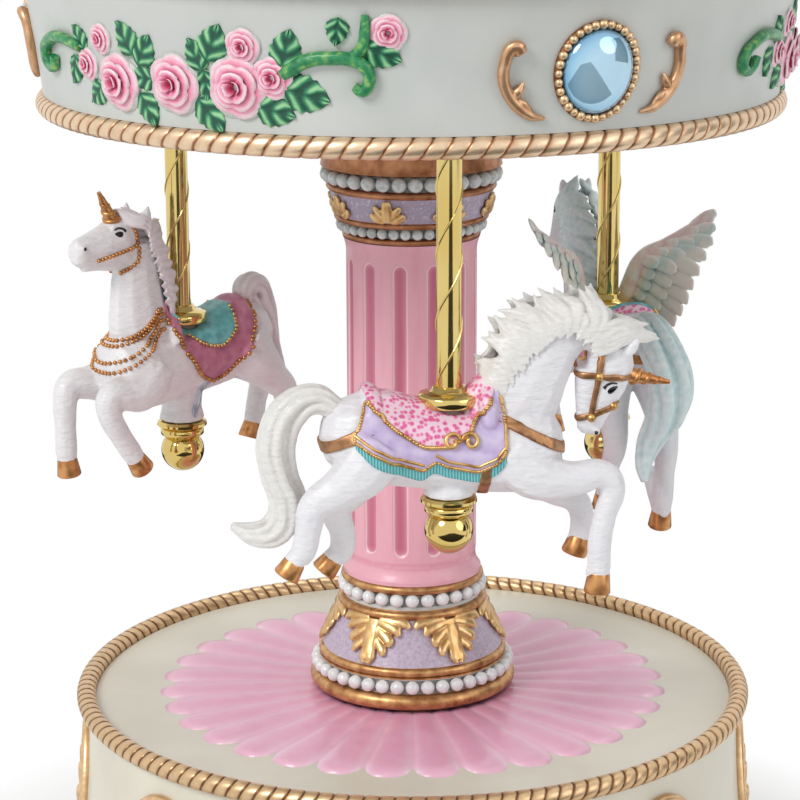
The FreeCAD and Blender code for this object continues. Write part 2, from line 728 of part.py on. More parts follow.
def valance_solid():
    middle = 0.5 * (canopy_rope_z + valance_top)
    return revolve([(0, ceiling_z), (valance_foot_radius - 0.5, ceiling_z),
                    (valance_foot_radius, canopy_rope_z),
                    (valance_radius(middle), middle, "via"), (valance_top_radius, valance_top),
                    (0, valance_top)])


def pole_places():
    angles = [pole_angle + 120 * k for k in range(3)]
    return [(pole_circle * math.cos(math.radians(a)), pole_circle * math.sin(math.radians(a)), a)
            for a in angles]


def build_canopy():
    drum = valance_solid()
    inner = revolve([(0, ceiling_top), (valance_foot_radius - valance_wall, ceiling_top),
                     (valance_top_radius - valance_wall, valance_top + 0.1), (0, valance_top + 0.1)])
    drum = drum.cut(inner)
    drum = drum.cut(ring(canopy_rope_radius, canopy_rope_tube + seat_clearance, canopy_rope_z))
    drum = drum.cut(ring(cornice_radius, cornice_rope_tube + seat_clearance, cornice_z))
    holes = [rod(rod_radius + slip_clearance, ceiling_z - 1, ceiling_top + 1, x, y) for x, y,
             a in pole_places()]
    holes.append(rod(drive_shaft_radius + slip_clearance, ceiling_z - 1, ceiling_top + 1))
    nodes["canopy_drum"] = drum.cut(group(holes))
    nodes["canopy_rope"] = ring(canopy_rope_radius, canopy_rope_tube, canopy_rope_z)
    nodes["cornice_rope"] = ring(cornice_radius, cornice_rope_tube, cornice_z)
    hub = fused([rod(hub_radius, ceiling_top, ceiling_top + 2.0),
                 rod(4.5, ceiling_top, ceiling_top + hub_height)])
    nodes["canopy_hub"] = hub.cut(rod(drive_shaft_radius, ceiling_top - 1, ceiling_top + hub_height - 2))


roof_foot_radius = cornice_radius - 0.4 * cornice_rope_tube
roof_foot_z = valance_top


def build_roof():
    crest = finial_radius + 1.0
    middle_r = 0.62 * roof_foot_radius
    middle_z = roof_foot_z + 0.72 * (roof_top - roof_foot_z)
    dome = revolve([(0, roof_foot_z), (roof_foot_radius, roof_foot_z), (roof_foot_radius, roof_foot_z + 1.5),
                    (middle_r, middle_z, "via"), (crest, roof_top), (0, roof_top)])
    inner = revolve([(0, roof_foot_z - 1), (roof_foot_radius - roof_wall - 1, roof_foot_z - 1),
                     (roof_foot_radius - roof_wall - 1, roof_foot_z + 0.5),
                     (middle_r, middle_z - roof_wall, "via"), (crest, roof_top - roof_wall),
                     (0, roof_top - roof_wall)])
    dome = dome.cut(inner).cut(ring(cornice_radius, cornice_rope_tube + seat_clearance, cornice_z))
    start = Vector(crest + 1, 0, roof_top + 0.2)
    end = Vector(roof_foot_radius, 0, roof_foot_z + 1.5)
    via = Vector(middle_r, 0, middle_z + 0.35)
    path = Part.Wire(Part.Arc(start, via, end).toShape())
    profile = Part.Wire(Part.Circle(start, end - start, roof_groove).toShape())
    groove = path.makePipe(profile)
    groove = groove if groove.ShapeType == "Solid" else Part.Solid(Part.Shell(groove.Faces))
    dome = dome.cut(group(spread(groove, roof_ribs)))
    nodes["canopy_roof"] = dome.cut(rod(2.0 + slip_clearance, roof_top - 10, roof_top + 1))
    z = roof_top
    r = finial_radius
    h = finial_height
    nodes["finial"] = revolve([
        (0, z - roof_wall), (2.0, z - roof_wall), (2.0, z), (r, z), (r + 0.6, z + 0.05 * h, "via"),
        (r, z + 0.1 * h), (0.45 * r, z + 0.16 * h), (0.45 * r, z + 0.26 * h), (0.9 * r, z + 0.46 * h, "via"),
        (0.45 * r, z + 0.68 * h), (0.3 * r, z + 0.72 * h), (0.42 * r, z + 0.8 * h, "via"),
        (0.1 * r, z + 0.97 * h),
        (0, z + h)])


def facing(shape, angle, z, profile):
    """Stand a piece modelled along +X, seated at the origin, on the valance at an angle and a height."""
    lean = math.degrees(math.atan2(profile(z + 2) - profile(z - 2), 4))
    shape.rotate(origin, Vector(0, 1, 0), lean)
    shape.translate(Vector(profile(z), 0, z))
    return turned(shape, angle)


gem_z = canopy_rope_z + canopy_rope_tube + 13.0


def build_gems():
    trim = valance_solid()
    outer = gem_radius + bezel_width
    x = Vector(1, 0, 0)
    sphere_r = (gem_radius ** 2 + gem_height ** 2) / (2 * gem_height)
    ledge = 0.9
    gem = Part.makeSphere(sphere_r, Vector(ledge + gem_height - sphere_r, 0, 0))
    gem = gem.common(Part.makeCylinder(gem_radius, gem_height + 1, Vector(ledge, 0, 0), x))
    bezel = Part.makeCylinder(outer, 4.0 + 1.7, Vector(-4.0, 0, 0), x)
    bezel = bezel.cut(Part.makeCylinder(gem_radius + seat_clearance, 5, Vector(ledge, 0, 0), x))
    count = int(2 * math.pi * (gem_radius + bezel_width / 2) / (2.25 * bead_radius))
    reach = gem_radius + bezel_width / 2 + 0.1
    beads = [Part.makeSphere(bead_radius, Vector(1.75, reach * math.cos(2 * math.pi * k / count),
                                                 reach * math.sin(2 * math.pi * k / count))) for k in range(count)]
    bezel = fused([bezel] + beads)
    bezel = bezel.cut(Part.makeCylinder(gem_radius + seat_clearance, 5, Vector(ledge, 0, 0), x))
    bezel = facing(bezel, gem_angle, gem_z, valance_radius).cut(trim)
    gem = facing(gem, gem_angle, gem_z, valance_radius)
    for k, name in enumerate(("front", "back", "left")):
        nodes["gem_" + name] = turned(gem, 120 * k)
    nodes["gem_bezels"] = group(spread(bezel, 3))

    degrees_per_mm = math.degrees(1 / valance_radius(gem_z))
    reach = degrees_per_mm * (outer + 4.2)
    low = [(gem_angle - reach + da, z) for da, z in volute(0, gem_z - 6.0, degrees_per_mm, 3.4, 1.0, 90, 1)]
    bow = [(gem_angle - reach + degrees_per_mm * 2.2 * (s * s - 1), gem_z + 6.5 * s) for s in (-0.4, 0.0,
                                                                                               0.4)]
    high = [(gem_angle - reach + da, z) for da, z in volute(0, gem_z + 6.0, degrees_per_mm, 3.0, 1.0, -90,
                                                            -1)]
    pieces = [relief_tube(valance_radius, places, canopy_scroll_tube) for places in (low, high, bow)]
    left = [piece.cut(trim) for piece in pieces]
    mirror = Vector(-math.sin(math.radians(gem_angle)), math.cos(math.radians(gem_angle)), 0)
    both = left + [piece.mirror(origin, mirror) for piece in left]
    nodes["canopy_scrolls"] = group([copy for piece in both for copy in spread(piece, 3)])


# Roses of a garland: angle from its middle, height above the rope, size against the large rose
garland_roses = ((-12.0, 10.0, 1.0), (0.0, 10.5, 1.05), (13.0, 10.0, 1.0),
                 (-17.5, 17.0, 0.6), (17.0, 18.0, 0.62), (6.5, 18.5, 0.6), (-6.0, 18.5, 0.6))
# Leaves of a garland: angle from its middle, height above the rope, lean from upright
garland_leaves = ((-19.0, 9.0, 60.0), (-6.0, 5.0, 150.0), (6.5, 4.8, -150.0), (19.5, 8.5, -60.0),
                  (22.0, 15.5, -35.0), (-22.5, 14.0, 40.0), (28.0, 18.0, -70.0))


def build_garlands():
    trim = valance_solid()
    foot = canopy_rope_z + canopy_rope_tube
    roses = []
    for da, dz, size in garland_roses:
        r = rose_radius * size
        rise = rose_rise * size
        petal = Part.makeSphere(0.62 * r, Vector(rise - 0.62 * r - 0.3, 0.55 * r, 0))
        petals = []
        for k in range(5):
            copy = petal.copy()
            copy.rotate(origin, Vector(1, 0, 0), 72 * k + 18)
            petals.append(copy)
        heart = Part.makeSphere(0.5 * r, Vector(rise - 0.5 * r + 0.5, 0, 0))
        pad = Part.makeCylinder(0.8 * r, 2.0 + 0.4 * rise, Vector(-2.0, 0, 0), Vector(1, 0, 0))
        roses.append(facing(fused([pad, heart] + petals), garland_angle + da, foot + dz,
                            valance_radius).cut(trim))
    leaves = []
    for da, dz, lean in garland_leaves:
        edges = [Part.Arc(Vector(-2, 0, -3.6 * s), Vector(-2, 1.7 * s, 0), Vector(-2, 0, 3.6 * s)).toShape()
                 for s in (1, -1)]
        leaf = Part.Face(Part.Wire(edges)).extrude(Vector(3.0, 0, 0))
        leaf.rotate(origin, Vector(1, 0, 0), lean)
        leaves.append(facing(leaf, garland_angle + da, foot + dz, valance_radius).cut(trim))
    whole = leaves[0].multiFuse(leaves[1:])
    whole = whole.cut(group(roses))
    nodes["garland_roses"] = group([copy for solid in fuse_touching(roses) for copy in spread(solid, 3)])
    nodes["garland_leaves"] = group([copy for solid in whole.Solids for copy in spread(solid, 3)])


def fuse_touching(shapes):
    return shapes[0].multiFuse(shapes[1:]).Solids


# Poles

def build_poles():
    for (x, y, angle), name in zip(pole_places(), ("front", "right", "left")):
        low = saddle_z + top_flange_height
        pole = rod(pole_radius, low, ceiling_z, x, y)
        nodes["pole_" + name] = pole.cut(rod(rod_radius + slip_clearance, low - 1, ceiling_z + 1, x, y))
    flange = revolve([
        (0, 0), (top_flange_radius - 0.4, 0), (top_flange_radius, 0.4), (top_flange_radius, 0.9),
        (pole_radius + 1.2, 1.5), (pole_radius + 0.9, top_flange_height), (0, top_flange_height)])
    flange = flange.cut(rod(rod_radius + slip_clearance, -1, top_flange_height + 1))
    cup = revolve([
        (0, 0), (cup_radius - 0.5, 0), (cup_radius, -0.5), (cup_radius, -1.1), (cup_radius - 1.4, -1.6),
        (4.25, -1.9), (3.6, -cup_height), (0, -cup_height)])
    cup = cup.cut(rod(rod_radius + slip_clearance, -cup_height - 1, 1))
    ball = fused([Part.makeSphere(ball_radius, Vector(0, 0, -ball_radius - 0.8)), rod(2.6, -1.6, 0)])
    ball = ball.cut(rod(rod_radius, -ball_radius, 1))
    nut = Part.makePolygon([Vector(nut_radius * math.cos(math.radians(60 * k)),
                                   nut_radius * math.sin(math.radians(60 * k)), 0) for k in range(7)])
    nut = Part.Face(nut).extrude(Vector(0, 0, nut_height)).cut(rod(rod_radius, -1, nut_height + 1))
    rods, flanges, cups, balls, nuts = [], [], [], [], []
    for (x, y, angle), span in zip(pole_places(), clamp_spans):
        belly = saddle_z - span
        rods.append(rod(rod_radius, belly - cup_height - ball_radius, ceiling_top + nut_height + 0.8, x, y))
        for pile, piece, z in ((flanges, flange, saddle_z), (cups, cup, belly),
                               (balls, ball, belly - cup_height),
                               (nuts, nut, ceiling_top)):
            copy = piece.copy()
            copy.translate(Vector(x, y, z))
            pile.append(copy)
    nodes["pole_rods"] = group(rods)
    nodes["top_flanges"] = group(flanges)
    nodes["belly_cups"] = group(cups)
    nodes["ball_finials"] = group(balls)
    nodes["rod_nuts"] = group(nuts)


# Horses
# A horse faces +X with its pole on the Z axis and its saddle top at z = 0.
# Stations along a form are (x, y, z, half width, half depth).

section_points = 8


def section(centre, along, half_width, half_depth):
    along = Vector(along).normalize()
    side = Vector(0, 1, 0)
    side = (side - along * side.dot(along)).normalize()
    up = along.cross(side)
    points = []
    for k in range(section_points):
        a = 2 * math.pi * k / section_points
        points.append(Vector(*centre) + side * (half_width * math.cos(a)) + up * (half_depth * math.sin(a)))
    curve = Part.BSplineCurve()
    curve.interpolate(points, PeriodicFlag=True)
    return Part.Wire(curve.toShape())


def limb(stations):
    """A form lofted through oval sections set square to its run."""
    points = [Vector(*s[:3]) for s in stations]
    wires = []
    for k, s in enumerate(stations):
        before = points[max(k - 1, 0)]
        after = points[min(k + 1, len(points) - 1)]
        wires.append(section(s[:3], after - before, s[3], s[4]))
    return Part.makeLoft(wires, True, False)


def bone(start, end, r0, r1):
    run = Vector(*end) - Vector(*start)
    return Part.makeCone(r0, r1, run.Length, Vector(*start), run)


def lower_leg(joints):
    """Shank, pastern and hoof through (x, y, z, radius) joints, each joint rounded by a ball."""
    pieces = []
    for a, b in zip(joints, joints[1:]):
        pieces.append(bone(a[:3], b[:3], a[3], b[3]))
    for x, y, z, r in joints[:-1]:
        pieces.append(Part.makeSphere(1.12 * r, Vector(x, y, z)))
    return pieces


def hoof(ankle, toe):
    run = (Vector(*toe) - Vector(*ankle)).normalize()
    return Part.makeCone(1.9, 2.9, 4.2, Vector(*toe) - run * 1.2, run)


def leg_joints(y, first, fetlock, toe, radius):
    return [(first[0], y, first[1], radius), (fetlock[0], y, fetlock[1], 1.7), (toe[0], y, toe[1], 1.85)]


def hind_leg(y, hip, hock, fetlock, toe):
    """Haunch, gaskin and shank; each place is (x, z)."""
    upper = [(-16.5, 0.8 * y, -4, 3.0, 4.0), (-18.5, y, -9, 4.0, 6.6), (hip[0], y, hip[1], 3.2, 4.6),
             (hock[0] + 1.5, y, hock[1] + 1.8, 2.3, 2.9), (hock[0], y, hock[1], 1.9, 2.1)]
    return upper, leg_joints(y, hock, fetlock, toe, 2.2), (toe[0], y, toe[1])


def fore_leg(y, knee, fetlock, toe):
    """Shoulder, forearm and shank; each place is (x, z)."""
    upper = [(12.5, 0.8 * y, -9, 3.0, 4.0), (17, y, -13.2, 3.6, 5.2),
             (0.5 * (17 + knee[0]), y, 0.5 * (knee[1] - 13.2), 2.8, 3.6),
             (knee[0] - 1.5, y, knee[1] + 0.2, 2.3, 2.6)]
    return upper, leg_joints(y, knee, fetlock, toe, 2.3), (toe[0], y, toe[1])


def common_trunk():
    return limb([
        (-25.4, 0, -3.8, 2.0, 2.0), (-24.3, 0, -4.2, 5.0, 5.2), (-21, 0, -5.2, 7.6, 8.0),
        (-15, 0, -6.2, 8.6, 9.0),
        (-7, 0, -7.6, 8.2, 8.2), (1, 0, -8.2, 8.2, 8.2), (9, 0, -8.4, 8.4, 9.0), (15, 0, -8.2, 7.8, 9.6),
        (20, 0, -8.6, 6.0, 8.2), (22.8, 0, -9.2, 3.8, 5.0), (23.6, 0, -9.3, 1.8, 2.2)])


def build_horse(name, index, neck, head, legs, tail, extras):
    solids = [common_trunk(), limb(neck), limb(head), limb(tail)] + extras
    for upper, joints, toe in legs:
        solids.append(limb(upper))
        solids += lower_leg(joints)
        solids.append(hoof(joints[-2][:3], toe))
    belly = -clamp_spans[index]
    solids.append(Part.makeCone(4.4, 5.0, 9.0 - belly - 10.0, Vector(0, 0, belly)))
    solids.append(Part.makeCone(6.2, 5.0, 7.0, Vector(0, 0, -7.0)))
    body = solids[0]
    for solid in solids[1:]:
        body = body.fuse(solid)
    body = body.cut(rod(rod_radius + slip_clearance, -60, 40))
    body = body.cut(rod(top_flange_radius + slip_clearance, 0, top_flange_height + 6))
    x, y, angle = pole_places()[index]
    body.rotate(origin, axis, angle + 90 + horse_turns[index])
    body.translate(Vector(x, y, saddle_z))
    nodes[name] = body.Solids[0] if len(body.Solids) == 1 else body


def ear(x, y, z, dx, dz):
    return Part.makeCone(1.3, 0.2, 4.0, Vector(x, y, z), Vector(dx, 0.25 * y, dz))


def build_front_unicorn():
    neck = [(8, 0, -8, 5.0, 8.0), (13, 0, -1.5, 5.6, 9.2), (18, 0, 6, 4.8, 7.6), (22.5, 0, 12, 4.2, 6.4),
            (27.5, 0, 15.5, 3.8, 5.4), (32.5, 0, 15, 3.2, 4.4), (35, 0, 13.4, 1.6, 2.2)]
    head = [(33.6, 0, 16, 1.4, 1.6), (33.9, 0, 14.4, 3.0, 3.6), (33.4, 0, 9.5, 3.7, 4.8),
            (32, 0, 4.5, 3.2, 4.1),
            (30.3, 0, 0, 2.6, 3.0), (29, 0, -3.5, 2.7, 2.9), (28.3, 0, -5.6, 1.5, 1.6)]
    legs = [hind_leg(-4.8, (-23.5, -14.0), (-30.0, -20.5), (-30.6, -31.0), (-33.6, -35.0)),
            hind_leg(4.8, (-19.5, -16.0), (-21.5, -22.0), (-22.4, -31.0), (-25.5, -34.6)),
            fore_leg(-4.8, (32.5, -15.5), (30.6, -29.0), (29.6, -34.5)),
            fore_leg(4.8, (27.0, -22.5), (25.0, -28.0), (24.0, -32.0))]
    tail = [(-21.5, 0, -1, 1.5, 2.0), (-26, 0, 3.6, 2.4, 2.6), (-31, 0, 3.2, 2.8, 3.0),
            (-35, 0, -2.6, 2.9, 3.1),
            (-35, 0, -10, 2.7, 3.0), (-32.8, 0, -16.0, 2.5, 2.8), (-35, 0, -20, 2.2, 2.5),
            (-40, 0, -20.6, 1.5, 1.7),
            (-43.5, 0, -19, 0.5, 0.6)]
    mane = limb([(8, 0, 2, 1.5, 2.0), (11, 0, 10, 3.0, 4.0), (15, 0, 17, 3.2, 4.2), (21, 0, 20.5, 3.2, 3.4),
                 (29, 0, 20.4, 3.0, 3.2), (36, 0, 16, 2.6, 2.8), (39.5, 0, 10, 1.4, 1.6),
                 (40.4, 0, 6.5, 0.5, 0.6)])
    horn = bone((35.5, 0, 6.0), (43.5, 0, 5.2), 1.4, 0.25)
    build_horse("front_unicorn", 0, neck, head, legs, tail,
                [mane, horn, ear(34.5, 2.2, 14, 0.5, 1), ear(34.5, -2.2, 14, 0.5, 1)])


def build_left_unicorn():
    neck = [(8, 0, -8, 5.0, 8.0), (13, 0, -2, 5.6, 9.0), (17, 0, 6, 4.8, 7.2), (19.5, 0, 13.5, 4.0, 6.0),
            (21.5, 0, 19.5, 3.6, 5.0), (23.5, 0, 23.8, 3.0, 4.0), (24.6, 0, 25.8, 1.4, 1.8)]
    head = [(20.2, 0, 26.4, 1.4, 1.6), (21.8, 0, 25.8, 3.0, 3.6), (26.5, 0, 23.6, 3.7, 4.8),
            (31.5, 0, 21.6, 3.2, 4.0),
            (36, 0, 19.8, 2.6, 3.0), (39, 0, 18.6, 2.6, 2.8), (41, 0, 17.8, 1.5, 1.6)]
    legs = [hind_leg(-4.8, (-21.5, -15.0), (-28.0, -22.5), (-24.5, -32.5), (-21.5, -36.5)),
            hind_leg(4.8, (-21.5, -15.0), (-29.0, -21.5), (-24.0, -33.0), (-21.0, -37.0)),
            fore_leg(-4.8, (36.0, -14.5), (32.5, -30.0), (32.0, -34.5)),
            fore_leg(4.8, (25.0, -20.0), (19.0, -31.0), (18.5, -35.5))]
    tail = [(-21.5, 0, -1, 1.5, 2.0), (-26, 0, 3.6, 2.4, 2.6), (-30, 0, 2.4, 2.8, 3.0),
            (-33, 0, -4, 2.9, 3.1),
            (-33.5, 0, -12, 2.7, 3.0), (-35, 0, -19, 2.2, 2.5), (-39, 0, -23, 1.4, 1.6),
            (-42, 0, -23.5, 0.5, 0.6)]
    mane = limb([(6, 0, 2, 1.5, 2.0), (9, 0, 8, 3.0, 3.8), (11.5, 0, 15, 3.2, 4.0), (14.5, 0, 22, 3.0, 3.6),
                 (18.5, 0, 27, 2.4, 2.8), (22, 0, 29, 1.2, 1.4)])
    horn = bone((26.5, 0, 26.5), (31.5, 0, 35.0), 1.5, 0.25)
    build_horse("left_unicorn", 2, neck, head, legs, tail,
                [mane, horn, ear(22.5, 2.4, 27.5, -0.2, 1), ear(22.5, -2.4, 27.5, -0.2, 1)])


def build_winged_horse():
    neck = [(8, 0, -8, 5.0, 8.0), (13, 0, -2, 5.6, 9.0), (17, 0, 5, 4.8, 7.2), (20, 0, 11.5, 4.0, 6.0),
            (22.5, 0, 16.5, 3.6, 5.0), (25, 0, 19.8, 3.0, 4.0), (26.4, 0, 21.2, 1.4, 1.8)]
    head = [(22.6, 0, 22.6, 1.4, 1.6), (24, 0, 21.6, 3.0, 3.6), (28, 0, 18.4, 3.7, 4.8),
            (31.6, 0, 15, 3.2, 4.0),
            (34.6, 0, 12, 2.6, 3.0), (36.6, 0, 10, 2.6, 2.8), (37.9, 0, 8.6, 1.5, 1.6)]
    legs = [hind_leg(-4.8, (-20.5, -18.0), (-26.0, -27.0), (-24.5, -40.0), (-22.5, -46.0)),
            hind_leg(4.8, (-19.5, -18.0), (-22.0, -27.0), (-17.0, -37.0), (-15.0, -42.0)),
            fore_leg(-4.8, (33.0, -12.5), (31.0, -26.0), (29.5, -31.0)),
            fore_leg(4.8, (28.0, -20.0), (23.0, -29.0), (21.5, -33.5))]
    tail = [(-21.5, 0, -1, 1.5, 2.0), (-26, 0, 1.6, 2.4, 2.6), (-31, -1, -2, 3.0, 3.2),
            (-34, -2.5, -10, 3.2, 3.4),
            (-33.5, -2.5, -18, 2.8, 3.0), (-31.5, -1, -25, 2.3, 2.5), (-32, 1, -31, 1.4, 1.6),
            (-33.5, 2, -34, 0.5, 0.6)]
    mane = limb([(6, 0, 2, 1.5, 2.0), (9, 0, 7, 3.0, 3.8), (12, 0, 13.5, 3.2, 4.0), (15.5, 0, 19.5, 3.0, 3.6),
                 (20, 0, 23.6, 2.4, 2.8), (24, 0, 24.6, 1.2, 1.4)])
    wings = []
    for side in (-1, 1):
        wings.append(limb([
            (6, 5 * side, -5, 2.0, 5.0), (2.5, 8.5 * side, 0, 1.4, 7.0), (-2, 12.5 * side, 6, 1.2, 7.6),
            (-7, 16.5 * side, 11.5, 1.1, 6.4), (-12, 20 * side, 16, 0.9, 4.0),
            (-15, 22 * side, 18.6, 0.5, 1.4)]))
    build_horse("winged_horse", 1, neck, head, legs, tail,
                [mane, ear(24.6, 1.9, 21.8, -0.1, 1), ear(24.6, -1.9, 21.8, -0.1, 1)] + wings)


def main():
    for step in (build_base, build_rosette, build_skirt_scrolls, build_bedplate, build_comb, build_cylinder,
                 build_governor, build_barrel, build_winder, build_drive_shaft, build_pedestal, build_shaft,
                 build_capital, build_canopy, build_roof, build_gems, build_garlands, build_poles,
                 build_front_unicorn, build_left_unicorn, build_winged_horse):
        step()
    os.makedirs("parts", exist_ok=True)
    for name, shape in nodes.items():
        shape.exportStep("parts/" + name + ".step")


main()
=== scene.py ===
import math
import random

import bmesh
import bpy
import numpy as np
from mathutils import Matrix, Vector
from mathutils.bvhtree import BVHTree


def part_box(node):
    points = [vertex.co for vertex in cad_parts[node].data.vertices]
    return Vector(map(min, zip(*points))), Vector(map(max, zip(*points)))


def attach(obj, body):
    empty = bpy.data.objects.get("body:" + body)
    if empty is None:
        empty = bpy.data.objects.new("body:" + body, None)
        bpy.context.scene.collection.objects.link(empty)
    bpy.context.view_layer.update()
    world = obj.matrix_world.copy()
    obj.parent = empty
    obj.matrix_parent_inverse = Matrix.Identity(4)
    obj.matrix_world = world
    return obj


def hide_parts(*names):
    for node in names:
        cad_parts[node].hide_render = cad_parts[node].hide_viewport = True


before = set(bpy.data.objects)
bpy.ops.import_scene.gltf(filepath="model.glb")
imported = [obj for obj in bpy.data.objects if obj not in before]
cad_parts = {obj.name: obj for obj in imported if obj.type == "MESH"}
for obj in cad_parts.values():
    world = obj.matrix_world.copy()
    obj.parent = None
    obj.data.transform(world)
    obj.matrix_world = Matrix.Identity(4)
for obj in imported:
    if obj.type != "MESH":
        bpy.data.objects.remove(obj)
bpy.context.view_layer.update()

bl_info = {
    "name": "Carousel music box looks",
    "version": (1, 0, 0),
    "blender": (4, 5, 0),
    "location": "View3D > Sidebar > Carousel",
    "description": "Dresses the carousel music box: horses, rope trims, rose garlands and painted finishes",
    "category": "Object",
}

MM = 0.001


def level(node, top=True):
    """Height in millimetres of a CAD node's top or bottom."""
    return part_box(node)[1 if top else 0][2] / MM


def reach(node):
    """Largest radius in millimetres of a round CAD node about the axis."""
    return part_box(node)[1][0] / MM


PLATFORM_Z = level("petal_rosette", False)
ROSETTE_TOP = level("petal_rosette")
ROSETTE_RADIUS = reach("petal_rosette")
SADDLE_Z = level("top_flanges", False)
CANOPY_ROPE_Z = 0.5 * (level("canopy_rope") + level("canopy_rope", False))
VALANCE_TOP = level("canopy_drum")
# Horses, gems and garlands stand in threes round the canopy, this many degrees apart
THIRD = 120.0
POLE_CIRCLE = 56.8
POLE_RADIUS = 2.5
POLE_ANGLE = -82.6
GEM_ANGLE = -64.2
GARLAND_ANGLE = -122.0
SHAFT_RADIUS = 14.15
SKIRT_PANELS = 8
SKIRT_FOOT_Z = 12.0
SKIRT_NECK_Z = level("base_shell") - 4.5
SKIRT_FOOT_RADIUS = 77.3
SKIRT_NECK_RADIUS = 72.4
VALANCE_FOOT_RADIUS = 77.6
VALANCE_TOP_RADIUS = 82.2


class CarouselSizes(bpy.types.PropertyGroup):
    """Sizes of the trim that is modelled here."""
    base_strands: bpy.props.IntProperty(
        name="Base rope strands", description="Strands seen round the base rope", default=150)
    canopy_strands: bpy.props.IntProperty(
        name="Canopy rope strands", description="Strands seen round each canopy rope", default=131)
    petals: bpy.props.IntProperty(
        name="Petals", description="Petals of the rosette on the platform", default=32)
    clay_voxel: bpy.props.FloatProperty(
        name="Horse detail", description="Voxel that melts a horse's forms, in millimetres", default=0.42)
    pole_lead: bpy.props.FloatProperty(
        name="Pole lead", description="Millimetres in which a pole's spiral line turns once", default=26.0)


class CarouselColours(bpy.types.PropertyGroup):
    """Main paint colours, as sRGB hex."""
    pink: bpy.props.StringProperty(name="Pink", description="Paint of the column", default="e8a0b1")
    lavender: bpy.props.StringProperty(name="Lavender", description="Paint of the friezes", default="c4b7ca")
    horse: bpy.props.StringProperty(name="Horse white", description="Front horse's pearly paint",
                                    default="e9e8ec")


# Materials

def linear(code):
    """An sRGB hex colour as linear RGBA."""
    values = [int(code[k:k + 2], 16) / 255 for k in (0, 2, 4)]
    return [v / 12.92 if v <= 0.04045 else ((v + 0.055) / 1.055) ** 2.4 for v in values] + [1.0]


def fill(tree, node, sockets):
    """Fills a node's sockets with values or links them to outputs."""
    for key, value in sockets.items():
        if isinstance(value, bpy.types.NodeSocket):
            tree.links.new(value, node.inputs[key])
        else:
            node.inputs[key].default_value = value


def add(tree, kind, sockets=None, **settings):
    """Adds a node, sets its own settings and fills its sockets."""
    node = tree.nodes.new(kind)
    for key, value in settings.items():
        setattr(node, key, value)
    fill(tree, node, sockets or {})
    return node


def new_material(name):
    """A new material, its node tree and its place on the object."""
    material = bpy.data.materials.new(name)
    material.use_nodes = True
    tree = material.node_tree
    return material, tree, add(tree, "ShaderNodeTexCoord").outputs["Object"]


def surfaced(material, looks):
    """Fills the sockets of a material's surface and gives the material back."""
    tree = material.node_tree
    fill(tree, tree.nodes["Principled BSDF"], looks)
    return material


def reckoned(tree, operation, *values):
    """The result of a sum on values and outputs."""
    return add(tree, "ShaderNodeMath", dict(enumerate(values)), operation=operation).outputs[0]


def stored(tree, name="rise"):
    """A number stored on each vertex of the mesh."""
    return add(tree, "ShaderNodeAttribute", attribute_name=name).outputs["Fac"]


def ranged(tree, value, low, high, ends="To"):
    """A share spread over a range of values, or with ends "From" a range of values turned into a share."""
    sockets = {"Value": value, ends + " Min": low, ends + " Max": high}
    return add(tree, "ShaderNodeMapRange", sockets).outputs["Result"]


def stretched(tree, place, across, up):
    """Places drawn out sideways or upward, for brush marks and wiped paint."""
    return add(tree, "ShaderNodeMapping", {"Vector": place, "Scale": (across, across, up)}).outputs["Vector"]


def bumped(tree, height, strength, depth_mm):
    """Normals of a finely lumped surface."""
    sockets = {"Height": height, "Strength": strength, "Distance": depth_mm * MM}
    return add(tree, "ShaderNodeBump", sockets).outputs["Normal"]


def ramp(tree, factor, stops, interpolation="LINEAR"):
    """A colour ramp through (position, hex or grey) stops."""
    node = add(tree, "ShaderNodeValToRGB", {"Fac": factor})
    bar = node.color_ramp
    bar.interpolation = interpolation
    while len(bar.elements) < len(stops):
        bar.elements.new(0.5)
    for element, (position, value) in zip(bar.elements, stops):
        element.position = position
        element.color = linear(value) if isinstance(value, str) else [value, value, value, 1.0]
    return node.outputs["Color"]


def mottled(tree, place, size_mm, detail=3.0):
    """Noise whose patches are about size_mm across."""
    sockets = {"Vector": place, "Scale": 1 / (size_mm * MM), "Detail": detail}
    return add(tree, "ShaderNodeTexNoise", sockets).outputs["Fac"]


def by_relief(tree, place, patch_mm, spread, stops, detail=3.0):
    """Colour that follows the relief from folds to ridges, broken up in patches; returns both."""
    patches = mottled(tree, place, patch_mm, detail)
    return ramp(tree, reckoned(tree, "MULTIPLY_ADD", patches, spread, stored(tree)), stops), patches


def painted_resin(name, light, dark, patch_mm, roughness, bump=0.25):
    """Cast resin under satin paint: colour drifts between two shades, with a fine cast grit."""
    material, tree, place = new_material(name)
    return surfaced(material, {
        "Base Color": ramp(tree, mottled(tree, place, patch_mm), [(0.35, dark), (0.65, light)]),
        "Normal": bumped(tree, mottled(tree, place, 0.7, 2.0), bump, 0.12),
        "Roughness": roughness, "Coat Weight": 0.12})


def gilt_paint(name, light, dark, roughness):
    """Copper-gold paint on resin: metallic flake, brighter and browner in patches."""
    material, tree, place = new_material(name)
    patches = mottled(tree, place, 2.2)
    return surfaced(material, {
        "Base Color": ramp(tree, patches, [(0.3, dark), (0.62, light)]),
        "Roughness": ranged(tree, mottled(tree, place, 0.5, 1.0), roughness - 0.08, roughness + 0.14),
        "Normal": bumped(tree, patches, 0.2, 0.15), "Metallic": 0.82})


def relief_shaded_gilt(name, deep, mid, high, roughness=0.34):
    """Gilt paint on carved relief, with painted shade of brown in the cuts and a painted highlight of bright
    metal on the ridges.
    """
    material, tree, place = new_material(name)
    colour, patches = by_relief(tree, place, 1.8, 0.4, [(0.28, deep), (0.62, mid), (1.0, high)])
    return surfaced(material, {"Base Color": colour, "Normal": bumped(tree, patches, 0.15, 0.15),
                               "Metallic": 0.75, "Roughness": roughness})


